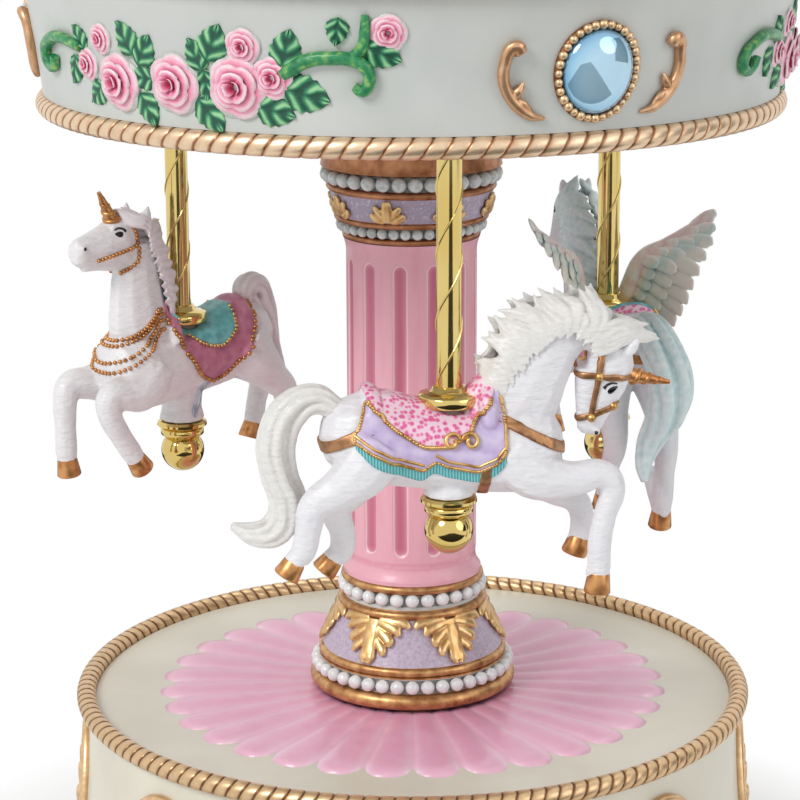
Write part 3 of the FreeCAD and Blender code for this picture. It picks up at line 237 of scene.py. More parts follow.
def polished_brass(name):
    """Lacquered polished brass tube: pale yellow and mirror bright, with the faintest drawn haze."""
    material, tree, place = new_material(name)
    haze = mottled(tree, place, 14.0)
    return surfaced(material, {"Base Color": ramp(tree, haze, [(0.3, "d8bd72"), (0.7, "e2cc88")]),
                               "Roughness": ranged(tree, haze, 0.07, 0.12), "Metallic": 1.0})


def plain_metal(name, light, dark, roughness):
    """Machined or cast metal with a faint drawn grain."""
    material, tree, place = new_material(name)
    grain = ramp(tree, mottled(tree, place, 0.8), [(0.3, dark), (0.7, light)])
    return surfaced(material, {"Base Color": grain, "Metallic": 1.0, "Roughness": roughness})


def pearl_plastic(name, light, dark):
    """Moulded pearl beads: milky plastic under a clear nacre coat."""
    material, tree, place = new_material(name)
    bloom = ramp(tree, mottled(tree, place, 1.2), [(0.3, dark), (0.7, light)])
    return surfaced(material, {"Base Color": bloom, "Roughness": 0.25, "Coat Weight": 0.7,
                               "Coat Roughness": 0.08,
                               "Sheen Weight": 0.15})


def blue_glass(name):
    """Foil-backed glass: pale blue at the dome's crown, with painted shade of deep blue toward its rim."""
    material, tree, place = new_material(name)
    stops = [(0.2, "2f628f"), (0.42, "6aa6d0"), (0.75, "9ccbe6"), (1.0, "b4daee")]
    return surfaced(material, {"Base Color": by_relief(tree, place, 6.0, 0.3, stops, 1.0)[0], "Metallic": 0.4,
                               "Roughness": 0.04, "Coat Weight": 1.0, "Coat Roughness": 0.02})


def combed_fringe(name, light, dark, thread_mm):
    """Painted fringe with threads combed into the resin, twice as coarse as real ones so that they show."""
    material, tree, place = new_material(name)
    # A wave's bands repeat every pi / 10 of its scaled length
    sockets = {"Vector": place, "Scale": 0.314 / (thread_mm * MM), "Distortion": 1.2}
    comb = add(tree, "ShaderNodeTexWave", sockets).outputs["Fac"]
    return surfaced(material, {"Base Color": ramp(tree, comb, [(0.15, dark), (0.7, light)]),
                               "Normal": bumped(tree, comb, 0.8, 0.25), "Roughness": 0.42})


def banded_frieze(name, foot, tall, gilt_bands, bead_bands, lavender, gilt_dark, gilt_light):
    """Stippled lavender paint, with gilt mouldings and bead grooves at heights above its foot."""
    material, tree, place = new_material(name)
    height = add(tree, "ShaderNodeSeparateXYZ", {"Vector": place}).outputs["Z"]
    share = ranged(tree, height, foot * MM, (foot + tall) * MM, "From")

    def banded(bands):
        stops = [(0.0, 0.0)]
        for start, end in bands:
            stops += [(start / tall, 1.0), (end / tall, 0.0)]
        return ramp(tree, share, stops, "CONSTANT")
    gilt, groove = banded(gilt_bands), banded(bead_bands)
    stipple = mottled(tree, place, 0.7, 2.0)
    paint = ramp(tree, stipple, [(0.28, "b3a5bb"), (0.5, lavender), (0.75, "d3c9d8")])
    metal = ramp(tree, mottled(tree, place, 2.6), [(0.3, gilt_dark), (0.65, gilt_light)])
    ground = add(tree, "ShaderNodeMix", {0: groove, 6: paint, 7: linear("cfd2d0")}, data_type="RGBA")
    colour = add(tree, "ShaderNodeMix", {0: gilt, 6: ground.outputs[2], 7: metal}, data_type="RGBA")
    return surfaced(material, {"Base Color": colour.outputs[2],
                               "Metallic": reckoned(tree, "MULTIPLY", gilt, 0.8),
                               "Normal": bumped(tree, stipple, 0.3, 0.15), "Roughness": 0.36})


def radius_from_axis(tree, place):
    """Distance from the Z axis, in metres."""
    flat = add(tree, "ShaderNodeVectorMath", {0: place, 1: (1, 1, 0)}, operation="MULTIPLY")
    return add(tree, "ShaderNodeVectorMath", {0: flat.outputs[0]}, operation="LENGTH").outputs["Value"]


def fluted_pink(name, radius, pink):
    """Pink wash wiped down the fluted shaft, with painted shade deeper in the flutes and a painted highlight
    pale along their edges.
    """
    material, tree, place = new_material(name)
    share = ranged(tree, radius_from_axis(tree, place), (radius - 0.75) * MM, radius * MM, "From")
    smear = mottled(tree, stretched(tree, place, 1.0, 0.16), 2.4)
    drift = reckoned(tree, "MULTIPLY_ADD", smear, 0.26, -0.13)
    # Painted shade toward the flute floors and a painted highlight along the flute edges, by distance from
    # the axis
    stops = [(0.0, "c97088"), (0.4, "d98a9e"), (0.64, "f6d6db"), (0.78, "f3c6ce"), (0.88, pink),
             (1.0, "efb3c0")]
    return surfaced(material, {"Base Color": ramp(tree, reckoned(tree, "ADD", share, drift), stops),
                               "Normal": bumped(tree, smear, 0.18, 0.3), "Roughness": 0.4,
                               "Coat Weight": 0.15})


def petal_pink(name):
    """Pearly pink petals, paler along the raised edges, with painted shade deeper in the valleys between
    them.
    """
    material, tree, place = new_material(name)
    stops = [(0.12, "dc80a8"), (0.42, "efa9c8"), (0.8, "f6c8dc"), (1.0, "fbe2ec")]
    return surfaced(material, {"Base Color": by_relief(tree, place, 5.0, 0.3, stops)[0], "Roughness": 0.34,
                               "Coat Weight": 0.3})


def shaded_paint(name, deep, mid, high, roughness=0.35, spread=0.3, brush=0.2):
    """Hand-brushed paint that follows the relief: painted shade deep in folds, a painted highlight pale on
    edges, with fine brush marks.
    """
    material, tree, place = new_material(name)
    colour, _ = by_relief(tree, place, 1.6, spread, [(0.22, deep), (0.62, mid), (1.0, high)])
    marks = mottled(tree, stretched(tree, place, 0.35, 1.0), 0.9)
    return surfaced(material, {"Base Color": colour, "Normal": bumped(tree, marks, brush, 0.8),
                               "Roughness": roughness,
                               "Coat Weight": 0.12})


def speckled_seat(name):
    """Seat paint dabbed on with a stiff brush: pink dots half a millimetre across over a pale ground."""
    material, tree, place = new_material(name)
    dots = add(tree, "ShaderNodeTexVoronoi", {"Vector": place, "Scale": 1 / MM}).outputs["Distance"]
    mixed = reckoned(tree, "MULTIPLY_ADD", mottled(tree, place, 3.0), 0.35, dots)
    colour = ramp(tree, mixed, [(0.46, "e2659d"), (0.62, "ee9cc0"), (0.74, "f3d3e2")])
    return surfaced(material, {"Base Color": colour, "Roughness": 0.4})


def feather_paint(name):
    """Cast feathers under washes: rose at the roots, teal strokes half way, ivory tips, with painted shade of
    grey in the folds.
    """
    material, tree, place = new_material(name)
    drift = reckoned(tree, "MULTIPLY_ADD", mottled(tree, place, 2.4), 0.5, -0.25)
    stops = [(0.05, "eac9cd"), (0.2, "f0eae6"), (0.36, "cfe4e2"), (0.5, "ecede7"), (0.85, "f3f0e8")]
    wash = ramp(tree, reckoned(tree, "ADD", stored(tree, "along"), drift), stops)
    # Painted shade: grey-teal multiplied into the folds from the stored relief
    fold_shade = ramp(tree, stored(tree), [(0.15, "a3b6b8"), (0.45, "ffffff")])
    colour = add(tree, "ShaderNodeMix", {0: 0.7, 6: wash, 7: fold_shade}, data_type="RGBA", blend_type="MULTIPLY")
    return surfaced(material, {"Base Color": colour.outputs[2], "Roughness": 0.38})


# Mesh helpers

def piece(name, mesh, material, body, slot, replaces=()):
    """Makes a mesh a piece of the object that rides on a body."""
    mesh.name = name
    mesh.materials.clear()
    mesh.materials.append(material)
    for polygon in mesh.polygons:
        polygon.use_smooth = True
    obj = bpy.data.objects.new(name, mesh)
    bpy.context.scene.collection.objects.link(obj)
    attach(obj, body)
    if replaces:
        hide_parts(*replaces)
    return obj


def mesh_from(bm):
    """The mesh of a finished bmesh, which is freed."""
    mesh = bpy.data.meshes.new("mesh")
    bm.to_mesh(mesh)
    bm.free()
    return mesh


def closed_mesh(bm):
    """A mesh with all its faces turned outward."""
    bmesh.ops.recalc_face_normals(bm, faces=bm.faces[:])
    return mesh_from(bm)


def with_rise():
    """An empty mesh whose vertices carry their relief for the paint."""
    bm = bmesh.new()
    return bm, bm.verts.layers.float.new("rise")


def finish_node(node, material):
    """Gives a carried-over CAD node its finish."""
    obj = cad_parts[node]
    obj.data.materials.clear()
    obj.data.materials.append(material)


def sweep(points, flat=1.0, sides=3, steps=6):
    """A round form through (x, y, z, radius) points in millimetres, flattened sideways about its middle."""
    curve = bpy.data.curves.new("sweep", "CURVE")
    curve.dimensions = "3D"
    curve.bevel_depth = 1.0
    curve.bevel_resolution = sides
    curve.resolution_u = steps
    curve.use_fill_caps = True
    spline = curve.splines.new("BEZIER")
    spline.bezier_points.add(len(points) - 1)
    for knot, (x, y, z, r) in zip(spline.bezier_points, points):
        knot.co = (x, y, z)
        knot.radius = r
        knot.handle_left_type = knot.handle_right_type = "AUTO"
    holder = bpy.data.objects.new("sweep", curve)
    mesh = bpy.data.meshes.new_from_object(holder)
    middle = sum(p[1] for p in points) / len(points)
    for vertex in mesh.vertices:
        vertex.co.y = middle + (vertex.co.y - middle) * flat
    bpy.data.objects.remove(holder)
    bpy.data.curves.remove(curve)
    return mesh


def joined(meshes):
    """Several meshes as one."""
    bm = bmesh.new()
    for mesh in meshes:
        bm.from_mesh(mesh)
    return mesh_from(bm)


def melted(meshes, voxel, rounds=6):
    """Forms melted to one skin, as a sculptor blends clay, then smoothed."""
    holder = bpy.data.objects.new("clay", joined(meshes))
    bpy.context.scene.collection.objects.link(holder)
    remesh = holder.modifiers.new("clay", "REMESH")
    remesh.mode = "VOXEL"
    remesh.voxel_size = voxel
    soften = holder.modifiers.new("soften", "SMOOTH")
    soften.factor = 0.5
    soften.iterations = rounds
    graph = bpy.context.evaluated_depsgraph_get()
    mesh = bpy.data.meshes.new_from_object(holder.evaluated_get(graph))
    bpy.data.objects.remove(holder)
    return mesh


def bead_run(points, radius, rounds=1):
    """Small round beads at given places."""
    bm = bmesh.new()
    for point in points:
        bmesh.ops.create_icosphere(bm, subdivisions=rounds, radius=radius, matrix=Matrix.Translation(point))
    return mesh_from(bm)


def shade_folds(mesh, rounds=3, gain=9.0):
    """Stores on each vertex how far it stands out of its surroundings, from 0 in a fold to 1 on a ridge."""
    count = len(mesh.vertices)
    spots = np.empty(count * 3)
    mesh.vertices.foreach_get("co", spots)
    spots = spots.reshape(-1, 3)
    normals = np.empty(count * 3)
    mesh.vertex_normals.foreach_get("vector", normals)
    normals = normals.reshape(-1, 3)
    pairs = np.empty(len(mesh.edges) * 2, dtype=np.int32)
    mesh.edges.foreach_get("vertices", pairs)
    ends = pairs.reshape(-1, 2)
    links = np.bincount(pairs, minlength=count).astype(float)

    def spread_out(values):
        total = np.zeros_like(values)
        np.add.at(total, ends[:, 0], values[ends[:, 1]])
        np.add.at(total, ends[:, 1], values[ends[:, 0]])
        return total / np.maximum(links, 1).reshape((-1,) + (1,) * (values.ndim - 1))
    around = spots
    for _ in range(rounds):
        around = spread_out(around)
    rise = np.einsum("ij,ij->i", spots - around, normals)
    rise = spread_out(rise)
    return add_rise(mesh, np.clip(0.5 + gain * 0.1 * rise, 0.0, 1.0).tolist())


def carved(forms, voxel, rounds, gain=14.0):
    """Forms melted to one relief, with its folds stored for the paint's painted shade."""
    return shade_folds(melted(forms, voxel, rounds), 4, gain)


def both_sides(runs):
    """Round forms through flat runs of (across, up, out, radius) places, with their mirror images."""
    return [sweep([(side * x, y, z, r) for x, y, z, r in run]) for side in (-1, 1) for run in runs]


def spun(bm, steps, weld):
    """Turns a mesh's edges all the way round the Z axis."""
    bmesh.ops.spin(bm, geom=bm.edges[:], axis=(0, 0, 1), cent=(0, 0, 0), angle=2 * math.pi, steps=steps,
                   use_merge=True)
    bmesh.ops.remove_doubles(bm, verts=bm.verts[:], dist=weld)


def turned(profile, lift=0.0):
    """A form turned about the Z axis from (radius, height) places, closed to a ring or on the axis."""
    bm = bmesh.new()
    spots = [bm.verts.new((r, 0, z + lift)) for r, z in profile]
    for pair in zip(spots, spots[1:] + spots[:1]):
        bm.edges.new(pair)
    spun(bm, 64, 0.001)
    return closed_mesh(bm)


def turn_about(degrees, axis):
    """A turn about one of the axes."""
    return Matrix.Rotation(math.radians(degrees), 4, axis)


def placed(mesh, matrix):
    """The mesh moved to its place."""
    mesh.transform(matrix)
    mesh.update()
    return mesh


# Carved trim

# Across one strand of a rope: share of its width, swell of the tube there, relief for the paint
# The relief column gives painted shade in the groove and a painted highlight on the strand's land
STRAND = (
    (0.0, 0.87, 0.0), (0.07, 0.96, 0.35), (0.18, 1.0, 0.7), (0.5, 1.02, 0.8), (0.84, 1.0, 0.75),
    (0.94, 0.98, 0.5))
ROPE_LEAN = 2.3


def rope_ring(radius, tube, z, strands):
    """A ring with a rope's lay cut round it: smooth strands between narrow slanting grooves."""
    bm, layer = with_rise()
    circle = bmesh.ops.create_circle(bm, segments=18, radius=tube)["verts"]
    turn = Matrix.Rotation(math.pi / 2, 4, "X")
    bmesh.ops.transform(bm, matrix=Matrix.Translation((radius, 0, z)) @ turn, verts=circle)
    steps = strands * len(STRAND)
    spun(bm, steps, tube * 0.01)
    for vertex in bm.verts:
        step = round(math.atan2(vertex.co.y, vertex.co.x) / (2 * math.pi) * steps) % steps
        out = math.hypot(vertex.co.x, vertex.co.y) - radius
        up = vertex.co.z - z
        share, swell, rise = STRAND[step % len(STRAND)]
        slant = ROPE_LEAN * math.sin(math.atan2(up, out)) / strands
        a = 2 * math.pi * (step // len(STRAND) + share) / strands + slant
        r = radius + out * swell
        vertex.co = (r * math.cos(a), r * math.sin(a), z + up * swell)
        # Painted shade in the grooves and a painted highlight on the strands, through the stored relief
        vertex[layer] = rise
    return placed(closed_mesh(bm), Matrix.Scale(MM, 4))


def valance_radius(z):
    """Radius of the flared valance at a height, in millimetres."""
    share = (z - CANOPY_ROPE_Z) / (VALANCE_TOP - CANOPY_ROPE_Z)
    flare = 0.55 * share + 0.45 * share ** 2
    return VALANCE_FOOT_RADIUS + (VALANCE_TOP_RADIUS - VALANCE_FOOT_RADIUS) * flare


def skirt_radius(z):
    """Radius of the base's skirt at a height, in millimetres."""
    share = max(0.0, min(1.0, (z - SKIRT_FOOT_Z) / (SKIRT_NECK_Z - SKIRT_FOOT_Z)))
    return SKIRT_FOOT_RADIUS + (SKIRT_NECK_RADIUS - SKIRT_FOOT_RADIUS) * (1 - (1 - share) ** 1.8)


def bent_to_wall(mesh, angle, z, wall, turn_radius):
    """Lays a relief drawn flat (x across, y up from z, z out, millimetres) on a round wall."""
    for vertex in mesh.vertices:
        across, up, out = vertex.co
        height = z + up
        r = wall(height) + out
        a = math.radians(angle) + across / turn_radius
        vertex.co = Vector((r * math.cos(a), r * math.sin(a), height)) * MM
    mesh.update()
    return mesh


def bent_to_valance(mesh, angle, z):
    """Lays a flat relief on the valance."""
    return bent_to_wall(mesh, angle, z, valance_radius, valance_radius(z))


def add_rise(mesh, values):
    """Stores how far each vertex stands out, which the paints read."""
    layer = mesh.attributes.new("rise", "FLOAT", "POINT")
    layer.data.foreach_set("value", values)
    return mesh


def rose(size, seed):
    """A full rose: cupped petals in whorls round a tight bud."""
    chance = random.Random(seed)
    bm, layer = with_rise()
    whorls = ((5, 1.0, 0.3, 1.3), (4, 0.76, 0.58, 1.2), (3, 0.5, 0.85, 1.05), (2, 0.28, 1.02, 0.8))
    for ring, (count, out, high, wide) in enumerate(whorls):
        for k in range(count):
            grid = bmesh.ops.create_grid(bm, x_segments=6, y_segments=6, size=0.5)["verts"]
            turn = 2 * math.pi * (k + 0.37 * ring) / count + chance.uniform(-0.12, 0.12)
            for vertex in grid:
                u, v = vertex.co.x + 0.5, vertex.co.y * 2
                width = wide * math.sin(math.pi * (0.18 + 0.72 * u)) ** 0.7
                spin = turn + v * width * (1.15 if ring < 2 else 1.7)
                r = size * (0.1 + (out - 0.1) * u * (1 - 0.16 * v * v))
                curl = 0.08 * u ** 4 * (1 - v * v)
                droop = 0.24 * u ** 3 * (1.2 - high)
                lift = size * (0.1 + high * 0.42 * math.sin(math.pi * 0.5 * u) - droop + curl)
                vertex.co = (r * math.cos(spin), r * math.sin(spin), lift)
                # Deep pink at each petal's base, partly the rose's own paint and partly painted shade between
                # the petals, pale at the rim
                vertex[layer] = min(1.0, 0.02 + 0.9 * u ** 2.2 + 0.1 * abs(v) ** 3)
    bmesh.ops.solidify(bm, geom=bm.faces[:], thickness=-0.05 * size)
    return mesh_from(bm)


def rose_ground(size):
    """The low unpainted mound that a rose is cast on."""
    bm = bmesh.new()
    bmesh.ops.create_uvsphere(bm, u_segments=24, v_segments=10, radius=1.04 * size)
    for vertex in bm.verts:
        turn = math.atan2(vertex.co.y, vertex.co.x)
        vertex.co *= 1 + 0.05 * math.sin(5 * turn)
        vertex.co.z *= 0.2
    return mesh_from(bm)


def leaf(length, width, seed):
    """A rounded leaf with a toothed edge, a sunk midrib and slanting side veins."""
    chance = random.Random(seed)
    wave = chance.uniform(0, 6)
    bm, layer = with_rise()
    bmesh.ops.create_grid(bm, x_segments=22, y_segments=14, size=0.5)
    for vertex in bm.verts:
        u, v = vertex.co.x + 0.5, vertex.co.y * 2
        half = 0.5 * width * math.sin(math.pi * u ** 0.72) ** 0.75
        tooth = 1 + 0.08 * math.sin(32 * u) * abs(v) ** 3
        vein = math.sin(5.5 * math.pi * (u - 0.32 * abs(v)))
        rib = math.exp(-(v / 0.14) ** 2)
        swell = 0.62 + 0.14 * math.sin(3 * u + wave) - 0.34 * abs(v) ** 3
        rise = swell + 0.07 * vein * (1 - rib) - 0.16 * rib
        vertex.co = ((u - 0.5) * length, v * half * tooth, rise * 1.2)
        vertex[layer] = max(0.0, 0.34 + 0.4 * vein - 0.5 * rib + 0.12 * abs(v))
    skirt = bmesh.ops.extrude_edge_only(bm, edges=[e for e in bm.edges if e.is_boundary])["geom"]
    for vertex in skirt:
        if isinstance(vertex, bmesh.types.BMVert):
            vertex.co.z = -0.6
            # Painted shade: the skirt under the leaf's edge takes the darkest green
            vertex[layer] = 0.0
    return closed_mesh(bm)


class CAROUSEL_OT_ropes(bpy.types.Operator):
    """Twisted rope trims of the base and the canopy"""
    bl_idname = "carousel.ropes"
    bl_label = "Rope trims"

    def execute(self, context):
        sizes = context.scene.carousel_sizes
        darker = relief_shaded_gilt("worn copper gilt paint", "58381f", "9a7350", "d9b98f")
        pale = relief_shaded_gilt("pale copper gilt paint", "85573a", "c0936f", "e8cdac")
        for node, strands, body in (("base_rope", sizes.base_strands, "base"),
                                    ("canopy_rope", sizes.canopy_strands, "carousel"),
                                    ("cornice_rope", sizes.canopy_strands, "carousel")):
            tube = 0.5 * (level(node) - level(node, False))
            mesh = rope_ring(reach(node) - tube, tube, level(node) - tube, strands)
            piece("twisted_" + node, mesh, darker if body == "base" else pale, body, "gilt_trim", (node,))
        return {"FINISHED"}


class CAROUSEL_OT_rosette(bpy.types.Operator):
    """Petal rosette on the platform"""
    bl_idname = "carousel.rosette"
    bl_label = "Petal rosette"

    def execute(self, context):
        count = context.scene.carousel_sizes.petals
        bm, layer = with_rise()
        inner = 20.0
        half = math.pi / count
        for k in range(count):
            grid = bmesh.ops.create_grid(bm, x_segments=14, y_segments=10, size=0.5)["verts"]
            for vertex in grid:
                u, v = vertex.co.x + 0.5, vertex.co.y * 2
                tip = math.sqrt(max(0.0, 1 - abs(v) ** 2.4))
                outer = ROSETTE_RADIUS - 3.4 * (1 - tip)
                r = inner + (outer - inner) * u
                a = 2 * math.pi * (k + 0.5) / count + half * v
                slope = ROSETTE_TOP - 0.35 - (ROSETTE_TOP - PLATFORM_Z - 1.0) * u
                crown = 0.75 * (0.35 + 0.65 * u) * (1 - abs(v) ** 2.2)
                lip = -0.9 * max(0.0, (u - 0.9) / 0.1) ** 2
                vertex.co = (r * math.cos(a), r * math.sin(a), slope + crown - 0.45 + lip)
                # Paler toward each petal's edges and tip; painted shade darkens the valley where two petals
                # meet
                valley = 0.35 * max(0.0, abs(v) - 0.86) / 0.14
                vertex[layer] = 0.25 + 0.5 * abs(v) ** 3 + 0.3 * u ** 6 - valley
        bmesh.ops.remove_doubles(bm, verts=bm.verts[:], dist=0.02)
        bmesh.ops.solidify(bm, geom=bm.faces[:], thickness=0.6)
        mesh = placed(closed_mesh(bm), Matrix.Scale(MM, 4))
        paint = petal_pink("pearly petal paint")
        piece("petal_rosette_relief", mesh, paint, "base", "pink_resin", ("petal_rosette",))
        return {"FINISHED"}


# Garland roses: degrees from its middle, height above the rope's centre, radius, all as seen from outside
GARLAND_ROSES = (
    (-13.0, 9.8, 5.7), (-2.2, 10.6, 5.8), (8.0, 10.8, 6.1), (-20.2, 12.4, 3.3), (-16.1, 17.8, 3.1),
    (9.2, 18.4, 3.6), (13.2, 12.8, 4.1), (29.0, 21.6, 3.6))
# Garland leaves: degrees, height, turn, length
GARLAND_LEAVES = (
    (-24.0, 10.9, -110, 6.2), (-18.6, 6.8, -140, 6.0), (-21.4, 17.6, 120, 5.4), (-10.5, 18.6, 120, 7.4),
    (-7.2, 16.6, 60, 7.0), (-8.2, 11.2, 180, 6.2), (-7.6, 5.2, -60, 7.0), (1.8, 16.6, 115, 6.6),
    (4.8, 19.0, 65, 7.8), (3.1, 10.8, -90, 6.0), (3.4, 5.2, -50, 8.0), (13.4, 6.6, -15, 8.0),
    (18.0, 9.8, -15, 9.0), (15.4, 18.4, 75, 7.8), (28.4, 17.8, -25, 7.4), (22.4, 21.8, -100, 5.4))
# Stems: (across, up, out, radius) runs in millimetres from the garland's middle
GARLAND_STEMS = (
    (
        (20.0, 13.6, 0.5, 1.3), (25.0, 16.4, 0.8, 1.35), (28.8, 16.9, 0.9, 1.35), (33.0, 16.6, 0.9, 1.3),
        (35.6, 14.8, 0.9, 1.2), (35.8, 12.3, 0.9, 1.15), (34.6, 10.8, 0.9, 1.1), (33.2, 11.8, 1.0, 0.9)),
    ((32.6, 16.8, 0.7, 1.1), (34.8, 19.1, 0.8, 1.05), (35.3, 21.8, 0.7, 1.0), (35.4, 25.0, 0.5, 0.7)),
    (
        (-29.0, 15.6, 0.5, 1.1), (-36.8, 16.9, 0.8, 1.2), (-42.0, 15.9, 0.9, 1.2), (-45.9, 13.2, 0.9, 1.15),
        (-45.4, 10.9, 0.9, 1.1), (-42.0, 10.5, 0.9, 1.0), (-40.6, 12.7, 1.0, 0.9)))


class CAROUSEL_OT_garlands(bpy.types.Operator):
    """Rose garlands, leaves and stems on the valance"""
    bl_idname = "carousel.garlands"
    bl_label = "Rose garlands"

    def execute(self, context):
        petal = shaded_paint("rose petal paint", "cf4672", "f095b3", "fbe8ee", 0.45, 0.3)
        green = shaded_paint("leaf paint", "0b4a38", "2c8a5c", "a5dba2", 0.5, 0.3)
        stem = shaded_paint("stem paint", "0f5a3c", "2f8f58", "b8d86a", spread=1.1)
        roses, grounds, leaves, stems = [], [], [], []
        for turn in range(3):
            middle = GARLAND_ANGLE + THIRD * turn
            for k, (da, dz, size) in enumerate(GARLAND_ROSES):
                roses.append(bent_to_valance(rose(size, k), middle + da, CANOPY_ROPE_Z + dz))
                grounds.append(bent_to_valance(rose_ground(size), middle + da, CANOPY_ROPE_Z + dz))
            for k, (da, dz, lean, length) in enumerate(GARLAND_LEAVES):
                mesh = placed(leaf(length, 0.8 * length, k), turn_about(lean, "Z"))
                leaves.append(bent_to_valance(mesh, middle + da, CANOPY_ROPE_Z + dz))
            for run in GARLAND_STEMS:
                mesh = sweep(run)
                add_rise(mesh, [0.05] * len(mesh.vertices))
                stems.append(bent_to_valance(mesh, middle, CANOPY_ROPE_Z))
        chalk = bpy.data.materials["chalk satin paint"]
        piece("rose_blooms", joined(roses), petal, "carousel", "pink_resin", ("garland_roses",))
        piece("rose_grounds", joined(grounds), chalk, "carousel", "cream_resin")
        piece("rose_leaves", joined(leaves), green, "carousel", "green_paint", ("garland_leaves",))
        piece("rose_stems", joined(stems), stem, "carousel", "green_paint")
        return {"FINISHED"}


# One scroll as (across, up, out, radius) runs from the gem's middle: back, head, side leaf, lower frond
GEM_SCROLL = (
    (
        (18.5, 3.4, 0.7, 1.15), (18.8, 0.8, 0.8, 1.15), (18.0, -2.2, 0.8, 1.15), (16.0, -5.0, 0.8, 1.15),
        (13.2, -7.0, 0.7, 0.95), (10.2, -7.7, 0.5, 0.35)),
    ((18.5, 3.0, 0.8, 1.1), (17.9, 5.3, 0.9, 1.25), (16.5, 6.0, 1.1, 1.4), (15.7, 4.7, 1.1, 1.2)),
    ((17.0, -3.4, 0.6, 0.95), (15.7, -2.2, 0.8, 0.95), (14.9, -0.5, 0.8, 0.3)),
    ((16.4, -4.0, 0.6, 0.8), (14.7, -4.8, 0.9, 0.85), (13.0, -6.2, 0.8, 0.4)))


class CAROUSEL_OT_scrolls(bpy.types.Operator):
    """Gilt scrolls on both sides of each gem"""
    bl_idname = "carousel.scrolls"
    bl_label = "Canopy scrolls"

    def execute(self, context):
        gilt = relief_shaded_gilt("scroll gilt paint", "855636", "bd8a62", "e8c5a0")
        relief = carved(both_sides(GEM_SCROLL), 0.24, 2)
        z = CANOPY_ROPE_Z + 12.8
        scrolls = [bent_to_valance(relief.copy(), GEM_ANGLE + THIRD * turn, z) for turn in range(3)]
        piece("gem_scrolls", joined(scrolls), gilt, "carousel", "gilt_trim", ("canopy_scrolls",))
        return {"FINISHED"}


class CAROUSEL_OT_skirt(bpy.types.Operator):
    """Gilt arches filled with fluted shell leaves, and a sprig between each two, round the base"""
    bl_idname = "carousel.skirt"
    bl_label = "Skirt shells"

    def execute(self, context):
        gilt = relief_shaded_gilt("skirt gilt paint", "7d5032", "b8865a", "e6c598")
        foot, half = SKIRT_FOOT_Z + 6.0, 14.5
        rise = SKIRT_NECK_Z - 2.6 - foot
        arch = []
        for k in range(17):
            turn = math.pi * k / 16
            arch.append((half * math.cos(turn), foot + rise * math.sin(turn) ** 0.8, 0.6, 1.25))
        forms = [sweep(arch)]
        for k in range(9):
            turn = math.radians(14 + 19 * k)
            x, y = math.cos(turn) * (half - 3.4), math.sin(turn) ** 0.8 * (rise - 4.2)
            forms.append(sweep([(0.1 * x, foot + 0.2 * y, 0.3, 0.7), (0.55 * x, foot + 0.62 * y, 0.6, 1.15),
                                (0.92 * x, foot + 0.94 * y, 0.9, 1.45), (x, foot + y, 0.7, 0.6)]))
        volute = []
        for k in range(11):
            turn = math.radians(205 + 42 * k)
            r = 4.0 * (1 - 0.07 * k)
            volute.append((half + 3.4 + r * math.cos(turn), foot + 1.2 + r * math.sin(turn), 0.6,
                           1.2 - 0.03 * k))
        runs = [volute]
        for tip_x, tip_y in ((24.0, 13.0), (27.5, 9.0)):
            runs.append([(28.6, foot - 1.0, 0.5, 1.0), (0.5 * tip_x + 14.5, foot + 0.5 * tip_y, 0.8, 1.5),
                         (tip_x, foot + tip_y, 0.9, 0.5)])
        forms += both_sides(runs)
        relief = carved(forms, 0.5, 2)
        panels = []
        for k in range(SKIRT_PANELS):
            angle = -90 + 360 / SKIRT_PANELS * k
            panels.append(bent_to_wall(relief.copy(), angle, 0.0, skirt_radius, SKIRT_NECK_RADIUS))
        piece("skirt_shells", joined(panels), gilt, "base", "gilt_trim", ("skirt_scrolls",))
        return {"FINISHED"}


def oval(half_across, half_up, out, count):
    """Places evenly round an oval drawn flat on the valance."""
    turns = [2 * math.pi * k / count for k in range(count)]
    return [Vector((half_across * math.cos(t), half_up * math.sin(t), out)) for t in turns]


